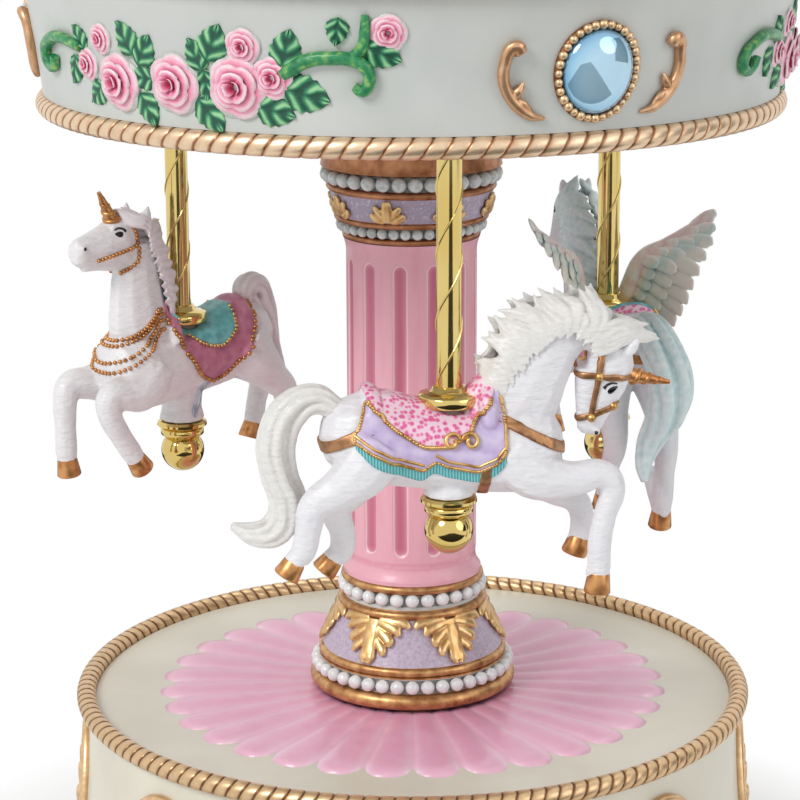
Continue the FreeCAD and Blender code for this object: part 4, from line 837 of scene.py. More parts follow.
class CAROUSEL_OT_gems(bpy.types.Operator):
    """Glass stones on blue foil, in rings of cast beads"""
    bl_idname = "carousel.gems"
    bl_label = "Gems"

    def execute(self, context):
        wide, tall, dome = 7.4, 8.1, 3.6
        glass = blue_glass("blue glass")
        gilt = relief_shaded_gilt("bezel gilt paint", "84522f", "c08c5e", "e9c9a0")
        chance = random.Random(5)
        beads = []
        for spot in oval(wide + 0.75, tall + 0.75, 0.7, 32):
            bm, layer = with_rise()
            bmesh.ops.create_icosphere(bm, subdivisions=2, radius=chance.uniform(0.8, 1.02))
            # Painted highlight on each bead's outer crown and painted shade where it meets the wall
            for vertex in bm.verts:
                vertex[layer] = 0.5 + 0.5 * vertex.co.z
            bmesh.ops.translate(bm, vec=spot, verts=bm.verts[:])
            beads.append(mesh_from(bm))
        ring = oval(wide + 0.7, tall + 0.7, 0.15, 48)
        band = sweep([(*spot, 0.85) for spot in ring + ring[:1]], sides=2, steps=1)
        # Painted shade: the ring under the beads takes the dark gilt
        beads.append(add_rise(band, [0.1] * len(band.vertices)))
        bezel = joined(beads)
        bezels = []
        for turn, node in enumerate(("gem_front", "gem_back", "gem_left")):
            angle, z = GEM_ANGLE + THIRD * turn, CANOPY_ROPE_Z + 13.5
            bezels.append(bent_to_valance(bezel.copy(), angle, z))
            bm, layer = with_rise()
            bmesh.ops.create_uvsphere(bm, u_segments=64, v_segments=32, radius=1.0)
            ball = bm.verts[:] + bm.edges[:] + bm.faces[:]
            bmesh.ops.bisect_plane(bm, geom=ball, plane_co=(0, 0, 0), plane_no=(0, 0, 1), clear_inner=True)
            bmesh.ops.contextual_create(bm, geom=[edge for edge in bm.edges if edge.is_boundary])
            for vertex in bm.verts:
                # Painted shade: the stone's height makes it deep blue at the rim and pale at the crown
                vertex[layer] = vertex.co.z
            bmesh.ops.scale(bm, vec=(wide, tall, dome), verts=bm.verts[:])
            bmesh.ops.translate(bm, vec=(0, 0, 0.3), verts=bm.verts[:])
            stone = bent_to_valance(closed_mesh(bm), angle, z)
            piece(node + "_stone", stone, glass, "carousel", "blue_glass", (node,))
        piece("gem_rings", joined(bezels), gilt, "carousel", "gilt_trim", ("gem_bezels",))
        return {"FINISHED"}


# Acanthus fronds, one half of a leaf as (across, along, out, radius) runs in millimetres
PEDESTAL_FRONDS = (
    (
        (0.35, 0.2, 0.5, 1.0), (0.5, -3.0, 0.7, 1.2), (0.55, -6.0, 0.8, 1.1), (0.7, -8.2, 1.0, 1.2),
        (0.5, -9.6, 1.3, 0.6)),
    ((0.7, -3.2, 0.5, 0.8), (2.0, -5.0, 0.7, 1.0), (3.2, -6.4, 1.1, 1.0), (3.5, -7.6, 1.3, 0.5)),
    ((0.9, -1.6, 0.5, 0.9), (2.8, -2.9, 0.8, 1.1), (4.3, -4.2, 1.1, 1.1), (4.7, -5.5, 1.3, 0.5)),
    ((1.1, -0.3, 0.5, 1.0), (3.4, -0.9, 0.8, 1.2), (5.3, -1.8, 1.0, 1.1), (6.2, -3.1, 1.2, 0.5)),
    ((1.3, 0.3, 0.5, 0.9), (4.4, 0.1, 0.7, 1.0), (7.0, -0.4, 0.9, 0.95), (8.0, -1.4, 1.0, 0.5)),
    ((0.2, -1.0, 1.4, 0.35), (0.2, -4.5, 1.6, 0.35), (0.2, -8.6, 1.8, 0.3)))
CAPITAL_FRONDS = (
    ((0.3, 0.2, 0.4, 0.8), (0.35, 2.3, 0.6, 0.9), (0.3, 4.1, 0.7, 0.8), (0.2, 5.0, 0.8, 0.4)),
    ((0.6, 0.8, 0.4, 0.7), (1.6, 2.1, 0.6, 0.85), (2.4, 3.2, 0.8, 0.75), (2.6, 3.9, 0.8, 0.4)),
    ((0.8, 0.3, 0.4, 0.7), (2.2, 0.7, 0.6, 0.85), (3.2, 1.4, 0.8, 0.7), (3.4, 2.2, 0.8, 0.35)))


class CAROUSEL_OT_acanthus(bpy.types.Operator):
    """Gilt acanthus leaves on the friezes of pedestal and capital"""
    bl_idname = "carousel.acanthus"
    bl_label = "Acanthus leaves"

    def execute(self, context):
        gilt = relief_shaded_gilt("acanthus gilt paint", "7a4b26", "c8995f", "f0d6a4", 0.3)
        low, foot = level("pedestal", False), level("capital", False)
        # Node, fronds, first angle, number, height the leaf starts from, radius there and at a second height
        rows = (("pedestal_leaves", PEDESTAL_FRONDS, -60.0, 6, low + 18.4, 15.9, low + 9.0, 20.0),
                ("capital_leaves", CAPITAL_FRONDS, -107.0, 8, foot + 5.2, 16.45, foot + 10.4, 17.8))
        for node, fronds, start, count, z0, r0, z1, r1 in rows:
            relief = carved(both_sides(fronds), 0.2, 1, 16.0)
            slope = (r1 - r0) / (z1 - z0)
            fall = 1 / math.hypot(1, slope)
            leaves = []
            for k in range(count):
                mesh = relief.copy()
                a = math.radians(start + 360 * k / count)
                for vertex in mesh.vertices:
                    x, y, out = vertex.co
                    wall = r0 + slope * y * fall
                    r = wall + 0.7 * out
                    turn = a + x / wall
                    vertex.co = Vector((r * math.cos(turn), r * math.sin(turn), z0 + y * fall)) * MM
                mesh.update()
                leaves.append(mesh)
            piece("acanthus_" + node, joined(leaves), gilt, "base", "gilt_trim", (node,))
        return {"FINISHED"}


# Horses
# Voxels in millimetres that melt the hair, strands of a tail, radii of a hoof's sole and top
MANE_VOXEL = 0.26
TAIL_VOXEL = 0.28
TAIL_STRANDS = 9
HOOF_RADII = (2.75, 2.15)
# Radii that cloths and their piping leave free round the pole, and a width that is off every flank
CLOTH_HOLE = 4.2
PIPING_HOLE = 6.2
OFF_FLANK = 14
# Cloths sink this far into the body; islands with fewer faces are strays
CLOTH_ROOT = 0.3
STRAY_FACES = 60
# A horse faces +X with its pole on the Z axis and its saddle top at z = 0, in millimetres.
# A form is a run of (x, y, z, radius) places; y is the horse's own left.

TRUNK = (
    (-25.4, 0, -4.0, 2.6), (-23.4, 0, -4.4, 6.2), (-20, 0, -5.2, 8.3), (-14.5, 0, -6.4, 9.2),
    (-7, 0, -7.9, 8.8), (1, 0, -8.7, 8.6), (9, 0, -9.0, 9.2), (15, 0, -8.8, 9.8), (19.6, 0, -8.9, 8.0),
    (22.4, 0, -9.0, 4.0))

FRONT = {
    "node": "front_unicorn", "angle": POLE_ANGLE, "turn": 0.0,
    "neck": (
        (9, 0, -5, 9.2), (14, 0, 1.5, 8.6), (17.6, 0, 8, 7.4), (21.5, 0, 13.2, 6.2), (26.5, 0, 15.4, 5.4),
        (31, 0, 13.6, 4.8)),
    "head": (
        (33.0, 0, 11.0, 3.6), (32.4, 0, 7.6, 4.9), (31.2, 0, 3.2, 4.5), (29.6, 0, -1.2, 3.4),
        (28.6, 0, -4.6, 2.7), (28.4, 0, -7.0, 1.9)),
    "jaw": ((28.4, 0, 6.4, 3.2), (28.0, 0, 3.0, 2.9), (27.6, 0, -2.4, 2.2), (27.2, 0, -6.2, 1.5)),
    "legs": (
        (
            (-15, -3.5, -7, 6.6), (-18, -5, -11.6, 6.0), (-22.6, -5.4, -15.4, 4.3),
            (-27.4, -5.4, -18.6, 3.3), (-28.6, -5.4, -23, 2.7), (-29.6, -5.4, -27.4, 2.6),
            (-30.8, -5.4, -29.2, 2.3)),
        (
            (-14, 3.5, -7, 6.6), (-16, 5, -13, 5.6), (-19.2, 5.2, -18.4, 4.0), (-22.0, 5.2, -22.2, 3.1),
            (-20.8, 5.2, -27.0, 2.7), (-21.0, 5.2, -30.8, 2.6), (-22.2, 5.2, -32.4, 2.3)),
        (
            (12, -3.5, -9, 6.0), (16.5, -5, -13.6, 5.2), (23.5, -5.4, -14.8, 3.7), (30.4, -5.4, -14.2, 2.9),
            (32.0, -5.4, -16.6, 2.7), (30.6, -5.4, -22.4, 2.4), (29.6, -5.4, -28.0, 2.5),
            (29.6, -5.4, -33.2, 2.4)),
        (
            (12, 3.5, -9, 6.0), (16, 5, -15.0, 5.0), (22.0, 5.2, -19.4, 3.5), (27.0, 5.2, -22.6, 2.7),
            (28.0, 5.2, -25.4, 2.5), (27.8, 5.2, -29.2, 2.3))),
    "hooves": (
        ((-31.2, -5.4, -29.4), (-33.2, -5.4, -32.6)), ((-22.6, 5.2, -32.4), (-24.8, 5.2, -35.2)),
        ((29.6, -5.4, -34.0), (29.2, -5.4, -38.6)), ((27.8, 5.2, -29.6), (26.4, 5.2, -33.6))),
    "tail": (
        (-22, 0, -0.6, 2.2), (-26.4, 0, 1.9, 2.9), (-31, 0, 0.2, 3.5), (-34.2, 0, -6.0, 3.7),
        (-33.8, 0, -13, 3.5), (-32.2, 0, -19, 3.7), (-34.0, 0, -24.4, 3.6), (-38.6, 0, -25.4, 2.6),
        (-43.4, 0, -23.4, 0.7)),
    "crest": ((8.6, 3), (9.6, 9), (13.6, 13), (19, 16.6), (25, 18), (30.5, 16), (33.6, 11.6)),
    "fringe": (
        (6.6, 8.0), (9.6, 15.6), (14.0, 19.2), (20.0, 21.2), (28.5, 21.4), (34.6, 18.0), (38.8, 12.4)),
    "ears": (((35.0, 2.2, 9.6), (37.6, 2.8, 13.0)), ((35.0, -2.2, 9.6), (37.6, -2.8, 13.0))),
    "eye": (32.2, 3.3, 2.6), "eye_turn": 24.0, "nostril": (29.6, 1.7, -6.4),
    "horn": ((36.0, 0, 4.8), (44.4, 0, 3.0)), "seat": (-15.4, 7.2, 3.4), "belly": -18.7, "locks": 19,
}

LEFT = {
    "node": "left_unicorn", "angle": POLE_ANGLE + 2 * THIRD, "turn": -22.0,
    "neck": (
        (9, 0, -5, 9.2), (11.6, 0, 1, 8.2), (12.4, 0, 8, 6.9), (12.6, 0, 14, 6.0), (13.2, 0, 19.6, 5.2)),
    "head": (
        (13.6, 0, 22, 3.6), (17.2, 0, 21.2, 5.0), (21.6, 0, 20.2, 4.5), (25.8, 0, 19.6, 3.7),
        (28.6, 0, 19.2, 3.3), (29.9, 0, 19, 2.2)),
    "jaw": ((15.8, 0, 17.8, 3.7), (18.8, 0, 17.2, 3.2), (23.2, 0, 17.2, 2.5), (27.4, 0, 17, 2.0)),
    "legs": (
        (
            (-15, -3.5, -7, 6.6), (-19.5, -5, -11.5, 5.8), (-25, -5.4, -15.4, 3.9), (-29, -5.4, -18.6, 3.0),
            (-27.8, -5.4, -24, 2.5), (-26.8, -5.4, -28.6, 2.5)),
        (
            (-15, 3.5, -7, 6.6), (-18.5, 5, -11.4, 5.8), (-23.2, 5.4, -16.0, 4.0), (-27.2, 5.4, -20.6, 3.1),
            (-25.6, 5.4, -26.4, 2.5), (-24.2, 5.4, -31.8, 2.5)),
        (
            (12, -3.5, -9, 6.0), (17, -5, -11.5, 5.2), (23, -5.6, -11.4, 3.8), (27.6, -6, -11.4, 3.1),
            (28.6, -6, -14.4, 2.9), (28.8, -6, -20.6, 2.5), (28.8, -6, -26.4, 2.6)),
        (
            (12, 3.5, -9, 6.0), (16, 5, -12.2, 5.2), (21, 5.5, -12.4, 3.9), (25.2, 5.6, -12.6, 3.2),
            (25.6, 5.6, -15.4, 2.9), (22.4, 5.6, -21.8, 2.5), (19.4, 5.6, -26.2, 2.5))),
    "hooves": (
        ((-26.6, -5.4, -29.2), (-25.2, -5.4, -33.0)), ((-23.8, 5.4, -32.8), (-22.6, 5.4, -36.8)),
        ((28.7, -6, -27.4), (28.1, -6, -31.8)), ((18.8, 5.6, -27.2), (16.4, 5.6, -30.6))),
    "tail": (
        (-19, 0, 1, 2.2), (-20, 0, 4.6, 2.8), (-22.2, 0, 5.2, 3.0), (-24.6, 0, 0.5, 3.2), (-26, 0, -7, 3.2),
        (-28, 0, -14, 2.8), (-31.5, 0, -18, 0.9)),
    "crest": ((5.0, 3), (5.6, 9), (6.8, 15), (8.8, 20.4), (11, 24), (14.6, 25.6)),
    "fringe": ((4.2, 4), (4.3, 10.5), (5.0, 17), (6.8, 22.6), (10, 26.2), (17, 27.0)),
    "ears": (((12.4, 3.0, 23.4), (11.4, 3.8, 28.2)), ((12.4, -3.0, 23.4), (11.4, -3.8, 28.2))),
    "eye": (19.2, 3.6, 22.7), "eye_turn": 15.0, "nostril": (28.6, 1.9, 20.6),
    "horn": ((18.6, 0, 25.0), (22.2, 0, 32.0)), "seat": (-15.0, 6.0, 3.0), "belly": -23.0, "locks": 15,
}

WINGED = {
    "node": "winged_horse", "angle": POLE_ANGLE + THIRD, "turn": -22.0,
    "neck": (
        (9, 0, -5, 9.2), (14, 0, 1.0, 8.4), (17.6, 0, 7, 7.0), (20.6, 0, 12.6, 5.8), (23, 0, 17.4, 4.9)),
    "head": (
        (23.4, 0, 21.0, 3.2), (26.4, 0, 19.6, 4.7), (30.2, 0, 16.2, 4.2), (33.6, 0, 12.6, 3.3),
        (36.0, 0, 10.0, 2.7), (37.4, 0, 8.4, 1.9)),
    "jaw": ((25.0, 0, 17.4, 3.3), (27.8, 0, 14.6, 2.9), (31.8, 0, 10.8, 2.1), (34.8, 0, 7.8, 1.5)),
    "legs": (
        (
            (-15, -3.5, -7, 6.8), (-18, -5, -13, 6.0), (-21.6, -5.4, -19.6, 4.2), (-25.4, -5.4, -26.4, 3.1),
            (-24.8, -5.4, -33.4, 2.5), (-24.2, -5.4, -39.6, 2.5), (-23.4, -5.4, -42, 2.3)),
        (
            (-15, 3.5, -7, 6.8), (-17, 5, -13, 5.8), (-19.6, 5.4, -19.6, 4.0), (-21.8, 5.4, -26, 3.0),
            (-18.8, 5.4, -32, 2.4), (-16.6, 5.4, -37, 2.5), (-15.6, 5.4, -39.4, 2.3)),
        (
            (12, -3.5, -9, 6.0), (17, -5, -13, 5.2), (25, -5.6, -12.6, 3.7), (32, -6, -11.8, 2.9),
            (33, -6, -14.6, 2.7), (31.8, -6, -21, 2.3), (30.6, -6, -26.4, 2.4), (30.2, -6, -28.6, 2.3)),
        (
            (12, 3.5, -9, 6.0), (16, 5, -14.2, 5.0), (22, 5.4, -17.6, 3.5), (27.4, 5.6, -19.6, 2.8),
            (26.6, 5.6, -22.6, 2.5), (24.0, 5.6, -27.4, 2.3), (22.4, 5.6, -30.2, 2.4))),
    "hooves": (
        ((-23.4, -5.4, -42.0), (-22.4, -5.4, -46.4)), ((-15.6, 5.4, -39.2), (-14.4, 5.4, -43.4)),
        ((30.2, -6, -28.8), (29.2, -6, -33.0)), ((22.4, 5.6, -30.4), (20.8, 5.6, -34.4))),
    "tail": (
        (-22, 0, -0.6, 2.4), (-26.4, 0, 1.0, 3.6), (-31, -1.4, -3, 4.6), (-33.6, -3.0, -10.4, 4.8),
        (-32.8, -2.2, -17.6, 4.2), (-30.8, 0.4, -23.6, 3.2), (-31.4, 2.2, -28.6, 2.1),
        (-33.2, 2.6, -32.4, 0.7)),
    "crest": ((7.6, 2), (9.8, 8), (12.8, 13.4), (16, 18), (19.4, 21.2), (22.6, 23)),
    "fringe": ((3.6, 4.6), (5.0, 10.6), (7.8, 16.4), (11.6, 21), (16.4, 24.4), (21.4, 26)),
    "ears": (((23.8, 2.4, 22.4), (23.4, 3.4, 26.8)), ((23.8, -2.4, 22.4), (23.4, -3.4, 26.8))),
    "eye": (29.0, 3.5, 18.4), "eye_turn": -40.0, "nostril": (36.8, 1.8, 9.6), "horn": (),
    "seat": (-15.0, 6.8, 3.2), "belly": -25.0, "locks": 17,
}


def part_way(points, share):
    """A place part of the way along a polyline of equal steps."""
    reach_on = min(max(share, 0.0), 0.9999) * (len(points) - 1)
    k = int(reach_on)
    return Vector(points[k]).lerp(Vector(points[k + 1]), reach_on - k)


def mane_locks(horse, count, seed):
    """Locks of three strands, combed back along the neck, that lift over its crest into free tips."""
    chance = random.Random(seed)
    locks = []
    for side in (-1, 1):
        for k in range(count):
            share = (k + 0.5) / count
            lean = chance.uniform(-0.2, -0.1) if share < 0.86 else 0.05
            ahead = min(1.0, share + 0.1)
            root = part_way(horse["crest"], share)
            start = part_way(horse["crest"], ahead) * 2.2 - part_way(horse["fringe"], ahead) * 1.2
            tip = part_way(horse["fringe"], max(0.0, min(1.0, share + lean)))
            run = tip - root
            across = Vector((-run.y, run.x)).normalized()
            bow = across * chance.uniform(-0.9, 0.9)
            length = chance.uniform(0.9, 1.35)
            for strand in (-1, 0, 1):
                drift = across * strand * 0.8
                reach_on = length * (1.0 - 0.14 * abs(strand))
                spots = [(start + drift * 1.4, 4.9, 0.1), (root.lerp(start, 0.3) + drift * 1.2, 4.0, 0.75),
                         (root + run * 0.2 + bow + drift, 3.1, 0.9),
                         (root + run * 0.6 * reach_on + bow + drift * 0.9, 1.9, 0.85),
                         (root + run * 0.95 * reach_on + drift * 0.6, 0.9, 0.6),
                         (root + run * 1.2 * reach_on - bow * 0.9, 0.4, 0.2)]
                locks.append(sweep([(p.x, side * y, p.y, r) for p, y, r in spots], sides=2, steps=5))
    return locks


def tail_locks(horse, count, seed):
    """Strands that wind along the tail's run and part at its tip."""
    chance = random.Random(seed)
    places = horse["tail"]
    locks = [sweep([(x, y, z, 0.72 * r) for x, y, z, r in places])]
    for k in range(count):
        start = 2 * math.pi * k / count
        drift = chance.uniform(0.5, 1.1)
        run = []
        for m, (x, y, z, r) in enumerate(places):
            before = Vector(places[max(m - 1, 0)][:3])
            after = Vector(places[min(m + 1, len(places) - 1)][:3])
            line = (after - before).normalized()
            side = line.cross(Vector((0, 1, 0))).normalized()
            turn = start + drift * m / 3
            out = side * math.cos(turn) + Vector((0, 1, 0)) * math.sin(turn)
            spot = Vector((x, y, z)) + out * 0.8 * r
            run.append((spot.x, spot.y, spot.z, max(0.32, 0.29 * r)))
        locks.append(sweep(run, sides=2))
    return locks


def hoof_mesh(ankle, toe):
    """A hoof: a cone that widens to its sole, with a rounded rim and a coronet."""
    bm = bmesh.new()
    line = Vector(toe) - Vector(ankle)
    sole, top = HOOF_RADII
    bmesh.ops.create_cone(bm, cap_ends=True, segments=20, radius1=sole, radius2=top, depth=line.length)
    rims = [e for e in bm.edges if len(e.link_faces) == 2 and e.calc_face_angle() > 0.6]
    bmesh.ops.bevel(bm, geom=rims, offset=0.45, offset_type="OFFSET", affect="EDGES", segments=3, profile=0.5,
                    material=-1)
    turn = (-line).to_track_quat("Z", "Y").to_matrix().to_4x4()
    return placed(mesh_from(bm), Matrix.Translation((Vector(ankle) + Vector(toe)) / 2) @ turn)


def horn_mesh(root, tip):
    """A horn with a spiral ridge wound up its taper."""
    a, b = Vector(root), Vector(tip)
    line = (b - a).normalized()
    side = line.cross(Vector((0, 1, 0))).normalized()
    core = [(*(a.lerp(b, s)), 1.75 * (1 - s) + 0.45 * s) for s in (0, 0.35, 0.7, 1)]
    ridge = []
    for k in range(33):
        s = k / 32
        turn = 2 * math.pi * 4 * s
        r = 1.2 * (1 - s) + 0.25
        spot = a.lerp(b, s) + (side * math.cos(turn) + Vector((0, 1, 0)) * math.sin(turn)) * r
        ridge.append((*spot, 0.62 * (1 - s) + 0.14))
    return joined([sweep(core), sweep(ridge, sides=2, steps=2)])


def ear_mesh(root, tip):
    """A pointed ear from its root to its tip."""
    a, b = Vector(root), Vector(tip)
    return sweep([(*a, 1.2), (*a.lerp(b, 0.35), 1.5), (*a.lerp(b, 0.75), 0.9), (*b, 0.2)], sides=2, steps=4)


def in_band(start, end, width):
    """Test for a strap that shows from the side as a line of some width between two (x, z) places."""
    a, b = Vector(start), Vector(end)
    line = (b - a).normalized()
    length = (b - a).length

    def inside(p):
        spot = Vector((p.x, p.z)) - a
        run = spot.dot(line)
        return 0 <= run <= length and abs(spot.x * line.y - spot.y * line.x) <= width / 2
    return inside


def in_shape(upper, lower):
    """Test for a blanket between two (x, z) edges, each a run of places with growing x."""
    def height(edge, x):
        for (x0, z0), (x1, z1) in zip(edge, edge[1:]):
            if x0 <= x <= x1:
                return z0 + (z1 - z0) * (x - x0) / (x1 - x0)
        return None

    def inside(p):
        top, bottom = height(upper, p.x), height(lower, p.x)
        return top is not None and bottom is not None and bottom <= p.z <= top
    return inside


def islands(bm):
    """The groups of faces that hang together."""
    loose = set(bm.faces)
    while loose:
        island = [loose.pop()]
        for face in island:
            for edge in face.edges:
                for other in edge.link_faces:
                    if other in loose:
                        loose.remove(other)
                        island.append(other)
        yield island


def wrapped(mesh, inside, thickness):
    """A skin laid on a form where the test holds, with an evened edge; returns it and the edge's places."""
    bm = bmesh.new()
    bm.from_mesh(mesh)
    outside = [f for f in bm.faces if not inside(f.calc_center_median())]
    bmesh.ops.delete(bm, geom=outside, context="FACES")
    for island in list(islands(bm)):
        if len(island) < STRAY_FACES:
            bmesh.ops.delete(bm, geom=island, context="FACES")
    for _ in range(8):
        moves = {}
        for v in bm.verts:
            if v.is_boundary:
                near = [e.other_vert(v).co for e in v.link_edges if e.is_boundary]
                moves[v] = v.co * 0.4 + sum(near, Vector()) * (0.6 / max(len(near), 1))
        for v, spot in moves.items():
            v.co = spot
    bm.normal_update()
    skin = [(v, v.normal.copy()) for v in bm.verts]
    for v, out in skin:
        v.co += out * thickness
    edge = [v.co.copy() for v in bm.verts if v.is_boundary]
    bmesh.ops.extrude_face_region(bm, geom=bm.faces[:], use_keep_orig=True)
    for v, out in skin:
        v.co -= out * (thickness + CLOTH_ROOT)
    return closed_mesh(bm), edge


def thinned(places, gap):
    """Places picked so that none lies nearer than a gap to one already kept."""
    kept = []
    for place in places:
        if all((place - other).length >= gap for other in kept):
            kept.append(place)
    return kept


def place_of(horse):
    """Where a horse's own frame, in millimetres, stands on the carousel."""
    a = math.radians(horse["angle"])
    spot = Matrix.Translation(Vector((POLE_CIRCLE * math.cos(a), POLE_CIRCLE * math.sin(a), SADDLE_Z)) * MM)
    return spot @ turn_about(horse["angle"] + 90 + horse["turn"], "Z") @ Matrix.Scale(MM, 4)


def seat_forms(back, front, rise):
    """Cantle and pommel: two ridges across the saddle that the seat dips between."""
    ridges = []
    for x, lean, top in ((back, -0.9, rise), (front, 0.8, rise + 0.3)):
        ridges.append(sweep([(x, -6.2, -3.4, 1.3), (x + 0.4 * lean, -4.0, top - 2.2, 1.5),
                             (x + lean, 0, top - 1.1, 1.7),
                             (x + 0.4 * lean, 4.0, top - 2.2, 1.5), (x, 6.2, -3.4, 1.3)]))
    return ridges


def horse_forms(horse):
    """The masses of a horse: trunk, neck, head, legs, ears, brows, saddle ridges and the pole's boss."""
    forms = [sweep(TRUNK, 0.9)]
    forms += [sweep(horse[mass], flat) for mass, flat in (("neck", 0.64), ("head", 0.76), ("jaw", 0.86))]
    forms += [sweep(leg, 0.92) for leg in horse["legs"]]
    for leg, (ankle, toe) in zip(horse["legs"], horse["hooves"]):
        end, top, sole = Vector(leg[-1][:3]), Vector(ankle), Vector(toe)
        forms.append(sweep([(*end, 2.3), (*top, 2.3), (*top.lerp(sole, 0.35), 2.1)]))
        back = Vector((-2.6, 0, -1.0))
        forms.append(sweep([(*end, 1.7), (*(end + 0.6 * back), 1.3), (*(top + back), 0.4)], sides=2))
    forms += [ear_mesh(*ear) for ear in horse["ears"]]
    forms += seat_forms(*horse["seat"])
    belly = horse["belly"]
    forms.append(sweep([(0, 0, z, r) for z, r in ((-12, 5.0), (belly + 3, 4.6), (belly + 0.7, 5.2),
                                                  (belly + 0.1, 5.0))]))
    eye, nose = Vector(horse["eye"]), Vector(horse["nostril"])
    brow = eye + Vector((0, -1.5, 1.5))
    for side in (-1, 1):
        for spot, half in ((brow, 1.4), (nose, 0.6)):
            forms.append(sweep([(spot.x - half, side * spot.y, spot.z, 0.8),
                                (spot.x + half, side * spot.y, spot.z, 0.7)], sides=2))
    return forms


def skin_tree(mesh):
    """The search tree of a horse's skin, on which its tack is laid."""
    bm = bmesh.new()
    bm.from_mesh(mesh)
    tree = BVHTree.FromBMesh(bm)
    bm.free()
    return tree


def on_skin(tree, start, aim, lift=0.2):
    """Where a line from start towards aim first meets a skin, lifted a little; empty where it misses."""
    spot, normal = tree.ray_cast(Vector(start), Vector(aim) - Vector(start))[:2]
    return [] if spot is None else [spot + normal * lift]


def side_on(tree, side, x, z, lift=0.2):
    """The place on a horse's left (1) or right (-1) side at a length and height."""
    return on_skin(tree, (x, side * OFF_FLANK, z), (x, 0, z), lift)


def eye_mesh(tree, horse):
    """Two painted teardrop eyes, each under a lash line, and two nostrils set into the head."""
    bm = bmesh.new()
    x, _, z = horse["eye"]
    lean = math.radians(horse["eye_turn"])
    lashes = []
    for side in (-1, 1):
        for spot in side_on(tree, side, x, z, -0.2):
            marks = bmesh.ops.create_icosphere(bm, subdivisions=3, radius=1.0)["verts"]
            for v in marks:
                run, up = v.co.x * 1.25, v.co.z * (0.72 - 0.36 * v.co.x)
                v.co.x = run * math.cos(lean) - up * math.sin(lean)
                v.co.y *= 0.5
                v.co.z = run * math.sin(lean) + up * math.cos(lean)
            bmesh.ops.translate(bm, vec=spot, verts=marks)
        lash = []
        for k in range(5):
            turn = lean + math.radians(35 + 27 * k)
            for spot in side_on(tree, side, x + 1.75 * math.cos(turn), z + 1.35 * math.sin(turn), 0.0):
                lash.append((*spot, 0.16 + 0.05 * k))
        if len(lash) > 2:
            lashes.append(sweep(lash, sides=1, steps=4))
        nose = horse["nostril"]
        for spot in side_on(tree, side, nose[0] - 0.3, nose[2], -0.1):
            hole = bmesh.ops.create_icosphere(bm, subdivisions=2, radius=0.42)["verts"]
            bmesh.ops.translate(bm, vec=spot, verts=hole)
    return joined([mesh_from(bm)] + lashes)


def tack(name, mesh, material, slot, place):
    """A piece of harness, brought from the horse's frame to its place."""
    return piece(name, placed(mesh, place), material, "carousel", slot)


def cast_horse(context, horse, paint, hair, horn_paint, seed):
    """Makes a horse's body, hair, hooves, horn and eyes; returns its skin in its own frame and its place."""
    voxel = context.scene.carousel_sizes.clay_voxel
    name = horse["node"]
    place = place_of(horse)
    skin = melted(horse_forms(horse), voxel)
    tree = skin_tree(skin)
    piece(name + "_body", placed(shade_folds(skin.copy()), place), paint, "carousel", "white_resin", (name,))
    mane = melted(mane_locks(horse, horse["locks"], seed), MANE_VOXEL, 1)
    tail = melted(tail_locks(horse, TAIL_STRANDS, seed), TAIL_VOXEL, 1)
    tack(name + "_mane", shade_folds(mane), hair, "white_resin", place)
    tack(name + "_tail", shade_folds(tail), hair, "white_resin", place)
    tack(name + "_hooves", joined([hoof_mesh(*hoof) for hoof in horse["hooves"]]), horn_paint, "gilt_trim",
         place)
    if horse["horn"]:
        tack(name + "_horn", horn_mesh(*horse["horn"]), horn_paint, "gilt_trim", place)
    enamel = "black eye enamel"
    black = bpy.data.materials.get(enamel) or painted_resin(enamel, "141214", "0a090a", 2.0, 0.12)
    tack(name + "_eyes", eye_mesh(tree, horse), black, "black_plastic", place)
    return skin, tree, place


def saddle_cloths(name, skin, place, cloths, trims):
    """Lays cloths on a horse, each (name, upper edge, lower edge, thickness, material, slot), with piping."""
    for part, upper, lower, thickness, material, slot in cloths:
        shape = in_shape(upper, lower)
        mesh, edge = wrapped(skin, lambda p: shape(p) and math.hypot(p.x, p.y) > CLOTH_HOLE, thickness)
        tack(name + "_" + part, mesh, material, slot, place)
        if part in trims:
            material, slot, radius, gap = trims[part]
            low = [p for p in edge if p.z < 2.5 and math.hypot(p.x, p.y) > PIPING_HOLE]
            tack(name + "_" + part + "_piping", bead_run(thinned(low, gap), radius), material, slot, place)


def straps(name, skin, place, bands, material):
    """Lays straps on a horse, each (start, end, width) as seen from the side."""
    for k, (start, end, width) in enumerate(bands):
        mesh = wrapped(skin, in_band(start, end, width), 0.4)[0]
        tack(name + "_strap_" + str(k), mesh, material, "gilt_trim", place)


def level_edge(low, high, z):
    """A straight level edge of a cloth."""
    return ((low, z), (high, z))


